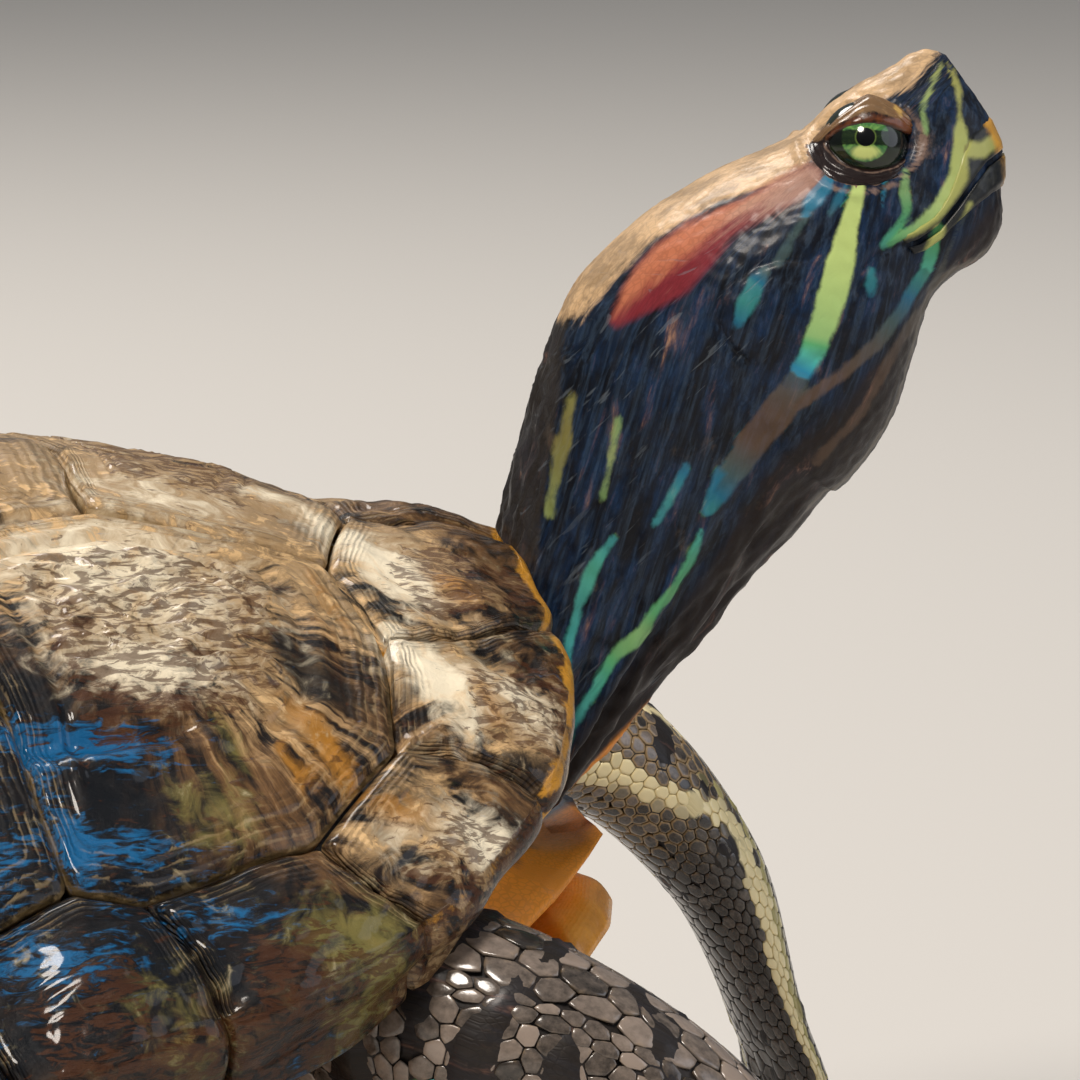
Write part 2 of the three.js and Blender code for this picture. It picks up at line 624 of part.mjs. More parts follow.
// A claw that leaves the toe forward and curves down to a point just above the floor
function clawGeometry(root, direction, length) {
  const sideways = new THREE.Vector3(-direction.y, direction.x, 0).normalize();
  const rings = [0, 0.4, 0.75].map((share) => {
    const size = CLAW_RADIUS * (1 - share) ** 0.7;
    const arch = 0.16 * length * Math.sin(Math.PI * Math.min(share * 1.1, 1));
    const rise = mix(root.z, 0.6, share) + arch;
    const centre = root.clone().addScaledVector(direction, length * share).setZ(rise);
    return Array.from({ length: CLAW_SIDES }, (_, j) => {
      const turn = (2 * Math.PI * j) / CLAW_SIDES;
      return centre.clone().addScaledVector(sideways, size * Math.cos(turn))
        .add(new THREE.Vector3(0, 0, 1.2 * size * Math.sin(turn)));
    });
  });
  const tip = root.clone().addScaledVector(direction, length).setZ(0.4);
  return loft(rings, centroid(rings[0]), tip);
}

function legSolid({ joints, claws, clawLength }) {
  const { rings, path } = limbRings(joints, LEG_STEPS, FOOT_BOW);
  const parts = [toManifold(capped(rings))];
  const foot = limbFrame(path, 0.97);
  const heading = foot.forward.clone().setZ(0).normalize();
  const toeWidth = joints.at(-1)[3];
  for (let i = 0; i < claws; i += 1) {
    const fan = (2 * i) / (claws - 1) - 1;
    const direction = heading.clone().applyAxisAngle(new THREE.Vector3(0, 0, 1), -TOE_FAN * fan);
    const across = TOE_SPREAD * fan;
    const root = foot.centre.clone().addScaledVector(foot.sideways, toeWidth * across)
      .addScaledVector(heading, -1.2 - FOOT_BOW * toeWidth * across * across).setZ(2);
    parts.push(toManifold(clawGeometry(root, direction, clawLength)));
  }
  return onFloor(wasm.Manifold.union(parts)).subtract(shellCutter);
}

const LEGS = {
  // shoulder, elbow, forearm, wrist, palm and toes of the near foreleg
  foreleg_r: {
    joints: [
      [46, -28, 51, 12, 11], [67, -57, 52.5, 10, 10.4], [85.5, -66, 40.5, 8.6, 8.4],
      [97, -71, 20.5, 8, 5.4], [107, -75, 5.6, 10.4, 3.6], [120, -78, 1.4, 9.4, 2],
    ],
    claws: 5,
    clawLength: 10,
  },
  // the far foreleg reaches well forward and steps straight down
  foreleg_l: {
    joints: [
      [56, 30, 51, 12, 11], [86, 42, 57, 10.5, 9.6], [115.5, 45, 57, 9, 7.8],
      [131.8, 46, 41.5, 8.2, 5.8], [140.8, 46.5, 20, 8.4, 3.1], [147.6, 47.3, 5.2, 10.4, 3],
      [158.5, 48.5, 1.4, 9.6, 1.9],
    ],
    claws: 5,
    clawLength: 10,
  },
  // hip, knee, shin, ankle, sole and toes; the hind feet lie flat and point back and out
  hindleg_r: {
    joints: [
      [-56, -32, 21, 13, 10.5], [-45, -60, 19, 12.5, 10.5], [-52, -80, 15, 11.2, 9.4],
      [-67, -88.5, 8.6, 9, 6.4], [-85, -93.5, 3.8, 12.6, 3.6], [-101, -98.5, 1.5, 14.2, 1.8],
    ],
    claws: 4,
    clawLength: 8,
  },
  hindleg_l: {
    joints: [
      [-56, 32, 21, 13, 10.5], [-43, 60, 19, 12.5, 10.5], [-48, 81, 15, 11.2, 9.4],
      [-62, 91.5, 8.6, 9, 6.4], [-79, 99, 3.8, 12.6, 3.6], [-94, 106, 1.5, 14.2, 1.8],
    ],
    claws: 4,
    clawLength: 8,
  },
};
for (const [name, leg] of Object.entries(LEGS)) {
  addMesh(model, name, fromManifold(legSolid(leg)), MATERIALS.skin);
}

const TAIL_JOINTS = [
  [-66, 0, 19, 10, 8.5], [-84, 0, 13.5, 8.5, 7], [-100, 3, 7.5, 6, 5.4], [-115, 10, 3.4, 3.6, 3.4],
  [-128, 19, 1.3, 1.6, 1.4],
];
const tailRings = limbRings(TAIL_JOINTS, TAIL_STEPS, 0).rings;
const tailSolid = onFloor(toManifold(capped(tailRings))).subtract(shellCutter);
addMesh(model, 'tail', fromManifold(tailSolid), MATERIALS.skin);

// The origin is the middle of the floor under the turtle's outer box
const turtle = new THREE.Group();
turtle.add(model);
const box = new THREE.Box3().setFromObject(turtle, true);
model.position.set(-(box.min.x + box.max.x) / 2, -(box.min.y + box.max.y) / 2, 0);

export default turtle;
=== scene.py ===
# Red-eared slider turtle (Trachemys scripta elegans), adult, life size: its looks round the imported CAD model.
# The shell is propped up on the forelegs and the neck is stretched up and to the right.
import bpy
import numpy as np
from mathutils import Matrix, Vector


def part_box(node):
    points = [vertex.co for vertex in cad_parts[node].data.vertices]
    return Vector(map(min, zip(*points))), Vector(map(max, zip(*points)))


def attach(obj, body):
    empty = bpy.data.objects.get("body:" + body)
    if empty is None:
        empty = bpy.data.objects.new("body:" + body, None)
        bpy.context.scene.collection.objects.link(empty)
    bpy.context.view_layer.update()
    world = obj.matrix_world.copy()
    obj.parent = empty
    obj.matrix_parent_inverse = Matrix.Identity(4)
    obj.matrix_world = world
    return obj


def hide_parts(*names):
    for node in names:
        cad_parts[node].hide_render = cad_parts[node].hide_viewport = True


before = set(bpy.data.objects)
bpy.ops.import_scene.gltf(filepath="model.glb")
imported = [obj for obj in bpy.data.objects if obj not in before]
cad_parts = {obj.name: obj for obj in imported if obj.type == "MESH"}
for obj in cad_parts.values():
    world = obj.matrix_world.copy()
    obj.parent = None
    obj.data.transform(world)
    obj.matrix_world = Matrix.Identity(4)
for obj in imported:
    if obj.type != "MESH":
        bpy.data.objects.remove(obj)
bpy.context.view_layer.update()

# ---- Vertebral and costal scutes -----------------------------------------------------------------
# Thirteen plates of horn, about 2 mm thick, roof the carapace and grow fast to the bone below it.
# Each has grown outward from its first small plate, so growth lines run parallel to its edges, and
# the oldest horn near the middle is wrinkled. Wet horn: dark brown with tan rays and glossy.

MM = 0.001
SHELL_PITCH = np.radians(14.57)
SHELL_LIFT = 20.6
TRUNK_FRONT = 95.4        # from the shell's middle forward to the trunk's foremost point on the floor
trunk_low, trunk_high = (np.array(corner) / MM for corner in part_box("trunk"))
SHELL_MIDDLE = np.array([trunk_high[0] - TRUNK_FRONT, (trunk_low[1] + trunk_high[1]) / 2, 0.0])

SHELL_HALF_LENGTH = 100.0
SHELL_HALF_WIDTH = 76.6
SHELL_REAR_FLARE = 3.0
SHELL_TOP = 78.0
RIM_ROUNDNESS = 2.65
DOME_FULLNESS = 1.35
SCUTE_DEPTH = 2.0
SEAM_HALF = 0.16           # half the groove between two scutes
FIELD_PROUD, EDGE_FALL, EDGE_ROUNDING = 0.4, 0.95, 0.6


def bell(x, centre, width):
    """A bell curve of height 1 at its centre: e to the minus square of the distance in widths."""
    return np.exp(-(((x - centre) / width) ** 2))


def smoothstep(low, high, x):
    """0 below low and 1 above high, with a soft S between them."""
    t = np.clip((x - low) / (high - low), 0, 1)
    return t * t * (3 - 2 * t)


def mix(a, b, share):
    """The point that share of the way from a to b."""
    return a + (b - a) * share


def unit(vectors):
    """Vectors brought to length 1."""
    return vectors / np.linalg.norm(vectors, axis=-1, keepdims=True)


def rim_radius(angle):
    """The rim from above: a superellipse, a little wider behind, with a small nose at the nuchal."""
    across = SHELL_HALF_WIDTH - SHELL_REAR_FLARE * np.cos(angle)
    total = np.abs(np.cos(angle) / SHELL_HALF_LENGTH) ** RIM_ROUNDNESS
    total = total + np.abs(np.sin(angle) / across) ** RIM_ROUNDNESS
    return total ** (-1 / RIM_ROUNDNESS) + 2 * bell(np.degrees(angle), 0, 10)


def rim_height(angle):
    """Height of the rim: up over the neck, a little up over the bridge, and flared up behind."""
    turn = np.degrees(np.abs(angle))
    return 24.5 + 17 * bell(turn, 0, 37) + 5.6 * bell(turn, 70, 19) + 2.3 * bell(turn, 180, 25)


def nuchal_swell(angle, share):
    """Over the neck the rim swells: a bell across the midline that starts at 0.84 of the radius."""
    return 3.6 * bell(np.degrees(angle), 0, 10) * smoothstep(0.84, 0.95, share)


def carapace_height(x, y):
    """A cosine dome over the rim, by the share of the way from the middle out to the rim."""
    angle = np.arctan2(y, x)
    share = np.minimum(np.hypot(x, y) / rim_radius(angle), 1)
    rim = rim_height(angle)
    dome = (SHELL_TOP - rim) * np.cos(np.pi / 2 * share ** DOME_FULLNESS)
    return rim + dome + nuchal_swell(angle, share)


def height_normal(height, x, y):
    """The upward unit normal of a height surface, from its slopes over half a millimetre each way."""
    step = 0.5
    slope_x = (height(x + step, y) - height(x - step, y)) / (2 * step)
    slope_y = (height(x, y + step) - height(x, y - step)) / (2 * step)
    return unit(np.stack([-slope_x, -slope_y, np.ones_like(x)], -1))


def on_height(height, x, y, up, proud):
    """Points over (x, y) on a height surface, moved out by proud along its normal (up is 1 or -1)."""
    return np.stack([x, y, height(x, y)], -1) + height_normal(height, x, y) * (up * proud)[..., None]


def on_floor(points):
    """Shell points turned up by the shell's pitch, lifted and put at the shell's place in the frame."""
    x, y, z = points[..., 0], points[..., 1], points[..., 2]
    cos, sin = np.cos(SHELL_PITCH), np.sin(SHELL_PITCH)
    turned = np.stack([x * cos - z * sin, y, x * sin + z * cos + SHELL_LIFT], -1)
    return turned + SHELL_MIDDLE


def wave_noise(points, wavelength, seed, waves=22):
    """Smooth noise of about unit size: plane waves in random directions, summed.
    The wavelength in millimetres may differ from axis to axis."""
    random = np.random.default_rng(seed)
    direction = unit(random.normal(size=(waves, 3)))
    pace = random.uniform(0.7, 1.4, (waves, 1))
    phase = random.uniform(0, 2 * np.pi, waves)
    turns = points @ (direction * pace * 2 * np.pi / np.asarray(wavelength, float)).T
    return np.sin(turns + phase).sum(-1) * np.sqrt(2 / waves)


def grid_faces(rows, columns, wrap):
    """Quads between the neighbours of a grid stored row by row; wrap joins the last column to the first."""
    row = np.arange(rows - 1)[:, None]
    column = np.arange(columns if wrap else columns - 1)[None, :]
    beside = (column + 1) % columns
    corners = [row * columns + column, row * columns + beside,
               (row + 1) * columns + beside, (row + 1) * columns + column]
    return np.stack(corners, -1).reshape(-1, 4)


def fan_faces(hub, first, columns, flip):
    """Triangles from a hub point to a closed ring of points that starts at first."""
    column = np.arange(columns)
    beside = (column + 1) % columns
    fan = np.stack([np.full(columns, hub), first + column, first + beside], -1)
    return fan[:, ::-1] if flip else fan


def loft_faces(rows, columns, count=1):
    """Sides and caps of that many equal lofts, each stored as its rings and then the hubs of its ends."""
    hub = rows * columns
    caps = np.concatenate([fan_faces(hub, 0, columns, True),
                           fan_faces(hub + 1, hub - columns, columns, False)])
    first = (np.arange(count) * (hub + 2))[:, None, None]
    return [(faces + first).reshape(-1, faces.shape[1]) for faces in (grid_faces(rows, columns, True), caps)]


def with_hubs(values):
    """A grid's values as a flat list, with the means of its first and last rows for the hubs."""
    flat = values.reshape(-1, *values.shape[2:])
    return np.concatenate([flat, values[0].mean(0)[None], values[-1].mean(0)[None]])


def closed_loft(rings):
    """Points and faces of rings joined one to the next, with a hub point closing each end."""
    return with_hubs(rings), loft_faces(*rings.shape[:2])


def volume(points, faces):
    """Six times the signed volume of a closed mesh, by the tetrahedra from the origin to its faces."""
    total = 0.0
    for corner in range(1, faces.shape[1] - 1):
        a, b, c = points[faces[:, 0]], points[faces[:, corner]], points[faces[:, corner + 1]]
        total += np.einsum("ij,ij->i", a, np.cross(b, c)).sum()
    return total


def solid_mesh(name, points, face_sets):
    """A mesh in metres from points in millimetres, its faces turned outward."""
    if sum(volume(points, faces) for faces in face_sets) < 0:
        face_sets = [faces[:, ::-1] for faces in face_sets]
    mesh = bpy.data.meshes.new(name)
    mesh.from_pydata((points * MM).tolist(), [], [f for faces in face_sets for f in faces.tolist()])
    return mesh


def put_in_place(name, mesh, material, cad_nodes, values):
    """Adds a smooth mesh to the scene, with named values at its points. It rides on the body and stands
    for the CAD nodes."""
    for key, value in values.items():
        value = np.asarray(value, np.float32)
        kind, field = ("FLOAT", "value") if value.ndim == 1 else ("FLOAT_VECTOR", "vector")
        mesh.attributes.new(key, kind, "POINT").data.foreach_set(field, value.ravel())
    mesh.shade_smooth()
    mesh.materials.clear()
    mesh.materials.append(material)
    piece = bpy.data.objects.new(name, mesh)
    bpy.context.scene.collection.objects.link(piece)
    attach(piece, "root")
    for cad_node in cad_nodes:
        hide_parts(cad_node)
    return piece


def add_piece(name, points, face_sets, material, slot, cad_nodes=(), values=None):
    """A piece from points in millimetres, flattened where it meets the floor."""
    points = points.copy()
    points[:, 2] = np.maximum(points[:, 2], 0)
    return put_in_place(name, solid_mesh(name, points, face_sets), material, cad_nodes, values or {})


def linear(hex_colour):
    """An sRGB hex colour as linear RGBA."""
    rgb = np.array([int(hex_colour[i:i + 2], 16) for i in (1, 3, 5)]) / 255
    value = np.where(rgb <= 0.04045, rgb / 12.92, ((rgb + 0.055) / 1.055) ** 2.4)
    return (*value.tolist(), 1.0)


def fill(owner, made, inputs):
    """Fills inputs of a node with values or links."""
    for key, value in inputs.items():
        if isinstance(value, bpy.types.NodeSocket):
            owner.node_tree.links.new(value, made.inputs[key])
        else:
            made.inputs[key].default_value = value


def node(owner, kind, inputs=(), output=0, **settings):
    """Adds one shader node, sets its properties, fills its inputs by name or in order, and returns an
    output of it."""
    made = owner.node_tree.nodes.new("ShaderNode" + kind)
    for key, value in settings.items():
        setattr(made, key, value)
    fill(owner, made, inputs if isinstance(inputs, dict) else dict(enumerate(inputs)))
    return made.outputs[output]


def new_material(name):
    """A material with its Principled shader, both ready to have nodes linked in."""
    material = bpy.data.materials.new(name)
    material.use_nodes = True
    return material, material.node_tree.nodes["Principled BSDF"]


def millimetres(material):
    """The piece's own coordinates in millimetres."""
    metres = node(material, "TexCoord", output="Object")
    return node(material, "VectorMath", {0: metres, "Scale": 1 / MM}, operation="SCALE")


def layered(material, colour, layers):
    """Lays each colour over the one before. A layer is (mask socket, grain socket, how ragged the
    grain makes its edge, softness of that edge, hex colour, strength)."""
    for mask, grain, ragged, soft, hex_colour, strength in layers:
        spread = node(material, "Math", (grain, 0.5), operation="SUBTRACT")
        torn = node(material, "Math", (spread, ragged, mask), operation="MULTIPLY_ADD")
        factor = node(material, "MapRange",
                      {"Value": torn, "From Min": 0.5 - soft, "From Max": 0.5 + soft, "To Max": strength},
                      interpolation_type="SMOOTHSTEP")
        colour = node(material, "Mix", {0: factor, 6: colour, 7: linear(hex_colour)}, 2, data_type="RGBA")
    return colour


# Wet keratin: brown-black horn clouded and rayed with tan, glossy as a film of water leaves it, with streaks of
# painted blue reflection low on the sides.
GROWTH_LINE_RADIANS, BAND_RADIANS = 170.0, 48.0      # from umbo to edge
horn, horn_shader = new_material("Keratin of the carapace")
ring = node(horn, "Attribute", output="Fac", attribute_name="ring")
lay = node(horn, "Attribute", output="Vector", attribute_name="lay")
marks = {name: node(horn, "Attribute", output="Fac", attribute_name=name)
         for name in ("tan", "pale", "amber", "olive", "night", "blue", "dark", "yellow", "ink")}
in_mm = millimetres(horn)
wrinkle_place = node(horn, "VectorMath", (in_mm, (0.33, 1.2, 1.2)), operation="MULTIPLY")
# grains of about 1 mm, patches of about 3 mm, clouds of about 8 mm, rays, and wrinkles of the old horn
# near the umbo, about 3 mm long fore and aft and 0.8 mm apart
grain, patch, cloud, ray_noise, wrinkle = (
    node(horn, "TexNoise", {"Vector": place, "Scale": scale, "Detail": detail, "Roughness": rough,
                            "Distortion": bend})
    for place, scale, detail, rough, bend in (
        (in_mm, 0.9, 7, 0.68, 0.0), (in_mm, 0.32, 6, 0.62, 0.9), (in_mm, 0.13, 5, 0.6, 0.8),
        (lay, 0.9, 5, 0.62, 1.2), (wrinkle_place, 1.0, 5, 0.6, 0.9)))
# the rays fade into patches near the umbo
ray_share = node(horn, "MapRange", {"Value": ring, "From Min": 0.3, "From Max": 0.7, "To Max": 0.7},
                 interpolation_type="SMOOTHSTEP")
rays = node(horn, "Mix", {0: ray_share, 2: patch, 3: ray_noise})
waver = node(horn, "Math", (patch, 0.05, ring), operation="MULTIPLY_ADD")
near_edge = node(horn, "MapRange", {"Value": ring, "From Min": 0.74, "From Max": 0.9},
                 interpolation_type="SMOOTHSTEP")


def edge_waves(radians):
    """Waves in the ring coordinate, that many radians from umbo to edge, strongest near the edge."""
    turned = node(horn, "Math", (waver, radians), operation="MULTIPLY")
    wave = node(horn, "Math", (turned,), operation="SINE")
    return node(horn, "Math", (wave, near_edge), operation="MULTIPLY")


# fine growth lines near the edge, about 1 mm apart, and broader bands of tan and dark between them
lines, bands = edge_waves(GROWTH_LINE_RADIANS), edge_waves(BAND_RADIANS)
half_lines, half_bands, pale_lines = (
    node(horn, "Math", (waves, share), operation="MULTIPLY")
    for waves, share in ((lines, 0.5), (bands, 0.5), (lines, -0.5)))
rim = node(horn, "MapRange", {"Value": ring, "From Min": 0.975, "From Max": 0.995, "To Max": 0.7})
half_inner = node(horn, "MapRange", {"Value": waver, "From Min": 0.66, "From Max": 0.5, "To Max": 0.5},
                  interpolation_type="SMOOTHSTEP")
horn_colour = layered(horn, linear("#150f0b"), [
    (0.5, cloud, 2.4, 0.25, "#0d0a09", 0.80),
    (0.5, rays, 2.8, 0.26, "#84603a", 0.66),
    # tan horn, lightened on the front top of the shell as painted light
    (marks["tan"], rays, 2.4, 0.28, "#dfba86", 0.94),
    (marks["tan"], patch, 4.5, 0.22, "#2a1b11", 0.50),
    (half_bands, patch, 1.6, 0.35, "#120d0a", 0.45),
    (marks["dark"], patch, 1.3, 0.25, "#120e0b", 0.92),
    (marks["night"], cloud, 0.9, 0.35, "#05080e", 0.96),
    # painted reflection: streaks of blue light reflected in the dark wet horn
    (marks["blue"], wrinkle, 2.0, 0.20, "#0c6296", 0.88),
    (marks["amber"], patch, 1.6, 0.28, "#aa7322", 0.90),
    (marks["olive"], patch, 2.0, 0.35, "#857c42", 0.70),
    # cream horn, and on the front top a painted highlight where light falls
    (marks["pale"], patch, 1.6, 0.36, "#f4e8cc", 0.94),
    # painted shade: the valleys between the old wrinkles near the umbo are darkened
    (half_inner, wrinkle, -3.4, 0.16, "#4b2a13", 0.72),
    (marks["yellow"], grain, 1.1, 0.20, "#cf9330", 0.92),
    (marks["ink"], cloud, 1.2, 0.18, "#17110c", 0.9),
    (half_lines, grain, 1.6, 0.25, "#0f0c09", 0.42),
    (pale_lines, patch, 1.8, 0.20, "#bfa67c", 0.28),
    (rim, grain, 1.5, 0.25, "#8d7449", 0.45)])
gloss = node(horn, "MapRange", {"Value": grain, "From Min": 0.3, "From Max": 0.7, "To Min": 0.34,
                                "To Max": 0.52})
line_height = node(horn, "Math", (lines, 0.35, grain), operation="MULTIPLY_ADD")
patch_height = node(horn, "Math", (patch, 0.8, line_height), operation="MULTIPLY_ADD")
wrinkled = node(horn, "Math", (wrinkle, half_inner), operation="MULTIPLY")
horn_height = node(horn, "Math", (wrinkled, 4.0, patch_height), operation="MULTIPLY_ADD")
# the relief of grain, wrinkles and growth lines is about 0.2 mm high
horn_bump = node(horn, "Bump", {"Height": horn_height, "Strength": 1.0, "Distance": 0.2 * MM})
fill(horn, horn_shader, {"Base Color": horn_colour, "Roughness": gloss, "Specular IOR Level": 0.15,
                         "Coat Weight": 0.42, "Coat Roughness": 0.1, "Normal": horn_bump})

# Seams of the carapace from above, left side, x forward and y left from the shell's middle
MARGINAL_SEAM = np.array([
    [86, 4.4], [77.8, 34.9], [72, 49], [59.3, 58.6], [40.3, 63.8], [20.5, 66.3], [0.5, 67.4],
    [-19, 66.8], [-38.5, 64], [-57.5, 57.3], [-73, 45.5], [-82.5, 27], [-85.5, 0.2]])
SIDES = (("r", -1), ("l", 1))
VERTEBRAL_CORNER, REAR_CORNER = [77.2, 23.7], [-77.7, 36.3]
COSTAL_ENDS = [[34, 62.9], [-8.5, 66.2], [-47.5, 59.8]]
COSTAL_BENDS = [[35.7, 50], [-10.5, 50], [-49, 46]]
CENTRE_SEAMS = [86, 58.8, 11, -33, -66, -85.3]
VERTEBRAL_SIDES = [
    [VERTEBRAL_CORNER, [66, 22.6], [55.4, 21.5]], [[55.4, 21.5], [36, 27.5], [9, 22]],
    [[9, 22], [-10, 27.5], [-35, 21]], [[-35, 21], [-50, 25], [-67, 13.5]],
    [[-67, 13.5], [-73.5, 29], REAR_CORNER, MARGINAL_SEAM[11].tolist()]]

# Marks on the horn, the same on both sides: centre and reach (x, distance from the midline) in mm
MARKS = {
    # tan and pale are partly the horn's own tan and cream and partly painted light, strongest on the lit front
    # top
    "tan": [(54, 34, 14, 12, 0.85), (68, 12, 18, 15, 0.8), (30, 12, 40, 14, 0.45), (74, 31, 3.5, 9, 0.4),
            (-10, 30, 55, 45, 0.2), (84, 40, 8, 9, 0.85), (62, 47, 5, 5, 0.4), (86, 17, 7, 10, 0.85),
            (71, 56, 6, 6, 0.75), (63, 60, 4, 4, 0.4)],
    "pale": [(83.7, 20, 4.4, 8, 1.0), (81, 12, 3, 5, 0.4), (87.5, 40, 4, 5.5, 0.62), (79.3, 39.5, 3, 8, 0.95),
             (75, 56.5, 4.2, 3.6, 0.8), (67, 59, 3, 2.5, 0.4), (51, 44.5, 7, 2.6, 0.6),
             (53, 33, 13, 10, 0.74), (76.3, 7.4, 3, 3, 0.6), (64, 15, 10, 8, 0.46)],
    "amber": [(88.5, 22, 3.2, 4.5, 0.75), (83, 42, 2.2, 5, 0.6), (74.2, 31, 1.6, 7, 0.5),
              (65, 50.7, 1.9, 3.6, 0.85), (60.4, 52, 2, 3.6, 0.6), (62.5, 46, 3, 2.2, 0.4),
              (69, 55, 3, 3, 0.5), (75, 10, 7, 3, 0.3), (71, 36, 1.6, 6, 0.35)],
    "olive": [(55.2, 50.4, 1.4, 4, 0.6), (51.5, 56.5, 2.8, 3.4, 0.5), (48, 58, 2.6, 5, 0.3),
              (56.5, 66, 5, 2.6, 0.75), (61, 66.5, 3, 1.8, 0.5), (38, 71, 5, 3, 0.5), (62, 64, 4, 2, 0.3)],
    "night": [(36, 57, 14, 9.5, 0.95), (37, 47, 8, 6, 0.6), (46, 66, 9, 5, 0.85), (22, 58, 11, 16, 0.95),
              (28, 69, 12, 6, 0.9), (60, 65, 7, 5, 0.45), (2, 60, 16, 14, 0.5)],
    # painted reflection: where blue light is painted as reflected in the wet horn, low on the sides
    "blue": [(41, 50.6, 9, 1.7, 0.75), (43, 52.8, 8, 1, 0.4), (36, 56, 1.8, 9, 0.45), (38, 60, 8, 2.5, 0.3),
             (27, 58, 5, 9, 0.42), (22, 50, 4, 10, 0.55), (47, 65, 7, 2.2, 0.45), (30, 68, 8, 2.4, 0.42),
             (42, 60, 9, 2, 0.26), (18, 62, 4, 9, 0.5), (12, 54, 7, 9, 0.5)],
    "dark": [(65.7, 40, 2.4, 2.8, 0.75), (67.5, 44, 3.2, 2.6, 0.8), (77.6, 15.5, 3, 4, 0.5),
             (86, 27.5, 1.2, 4, 0.4), (90, 33.5, 5, 1.6, 0.6), (84, 48.5, 4.5, 2.4, 0.75),
             (72, 50.5, 3, 1.8, 0.5), (66, 57.5, 2, 1.5, 0.4), (80, 54, 3, 3, 0.6), (95, 24, 2, 2, 0.4),
             (52, 41, 8, 1.8, 0.3), (70, 40, 1.5, 8, 0.35)],
    "yellow": [],
    "ink": [],
}


def marks_at(x, y):
    """Each mark's strength at each point: the sum of its elliptical bells."""
    found = {}
    for name, spots in MARKS.items():
        found[name] = sum((strength * bell(x, cx, rx) * bell(np.abs(y), cy, ry)
                           for cx, cy, rx, ry, strength in spots), np.zeros_like(x))
    return found


def distances_along(line):
    """How far along a line each of its points lies: the summed lengths of the steps before it."""
    return np.concatenate([[0], np.cumsum(np.linalg.norm(np.diff(line, axis=0), axis=1))])


def smooth_outline(corners, count, rounding):
    """Points spread evenly along a closed outline, its corners rounded by a moving average."""
    closed = np.array([*corners, corners[0]], float)
    travelled = distances_along(closed)
    fine = np.linspace(0, travelled[-1], 1200, endpoint=False)
    line = np.stack([np.interp(fine, travelled, closed[:, k]) for k in (0, 1)], -1)
    reach = max(1, round(rounding / travelled[-1] * len(fine)))
    shifts = range(-reach, reach + 1)
    line = sum(np.roll(line, shift, 0) for shift in shifts) / len(shifts)
    picks = np.linspace(0, len(fine), count, endpoint=False).astype(int)
    return line[picks]


def pillow(inset):
    """A scute's soft pillow: proud in its field and rounded down at its edge by a bell."""
    return FIELD_PROUD - EDGE_FALL * bell(inset, 0, EDGE_ROUNDING)


def growth_grooves(ring, waver, seed, lines):
    """Grooves at random shares of the way out, closer together toward the edge, that fade and return."""
    random = np.random.default_rng(seed)
    depth = np.zeros_like(ring)
    for at in 1 - 0.62 * random.uniform(0.03, 1, lines) ** 1.6:
        strength = random.uniform(0.12, 0.3)
        width = random.uniform(0.008, 0.02)
        fade = 0.6 + 0.4 * np.sin(waver * 2 + random.uniform(0, 6))
        depth -= strength * fade * bell(ring + 0.006 * waver, at, width)
    return depth


def scute_relief(x, y, ring, inset, seed):
    """Height of a scute over the shell's form: a soft pillow with rounded edges, growth grooves,
    shallow dents and an old, finely wrinkled middle whose ridges run fore and aft."""
    plan = np.stack([x, y, np.zeros_like(x)], -1)
    waver = wave_noise(plan, 16, seed)
    proud = pillow(inset) + growth_grooves(ring, waver, seed, 13)
    proud = proud + 0.22 * waver + 0.07 * wave_noise(plan, 5, seed + 1)
    wrinkle = 1 - 2 * np.abs(wave_noise(plan, (6.5, 2.1, 1), seed + 2)) / 1.6
    proud = proud + 0.13 * wrinkle * (1 - smoothstep(0.45, 0.68, ring))
    return proud


FLAT_BACK = ((1.0, 1.0), (0.6, 1.0))     # rings of a scute's hidden face: share of radius, share of depth


def scute(name, outline, umbo, spacing, seed, surface, relief, depth, material, slot, cad_nodes, marks_of,
          back=FLAT_BACK):
    """A plate of horn: rings that shrink from its outline to its umbo, each point lifted off the
    surface by the relief, with a side wall and a back face."""
    around = int(distances_along([*outline, outline[0]])[-1] / (1.3 * spacing))
    edge = smooth_outline(outline, around, 1.1)
    reach = np.hypot(*(edge - umbo).T)
    rows = int(reach.mean() / spacing)
    back_ring, back_depth = np.array(back).T
    ring = np.concatenate([(np.arange(rows) + 1) / rows, back_ring])[:, None] * np.ones(around)
    scale = (ring * (1 - SEAM_HALF / reach))[..., None]
    plan = umbo + (edge - umbo) * scale
    x, y = plan[..., 0], plan[..., 1]
    inset = (1 - ring) * reach
    proud = relief(x, y, ring, inset, seed)
    proud[rows:] = -depth * back_depth[:, None]
    points, face_sets = closed_loft(on_floor(surface(x, y, proud)))
    spoke = np.arctan2(*(edge - umbo).T[::-1])
    turn = np.broadcast_to(spoke, ring.shape)
    values = {"ring": ring, "lay": np.stack([10 * np.cos(turn), 10 * np.sin(turn), 2.5 * ring + seed], -1),
              **marks_of(x, y, ring)}
    values = {key: with_hubs(value) for key, value in values.items()}
    add_piece(name, points, face_sets, material, slot, cad_nodes, values)


def carapace_surface(x, y, proud):
    """The carapace's form, moved out by proud."""
    return on_height(carapace_height, x, y, 1, proud)


def mirrored(outline):
    """The outline on the other side of the midline."""
    return [[x, -y] for x, y in outline]


def vertebral_marks(x, y, ring):
    """A vertebral's marks, with a band of tan about 12 mm to each side of the midline."""
    found = marks_at(x, y)
    found["tan"] = found["tan"] + 0.25 * bell(np.abs(y), 12, 6)
    return found


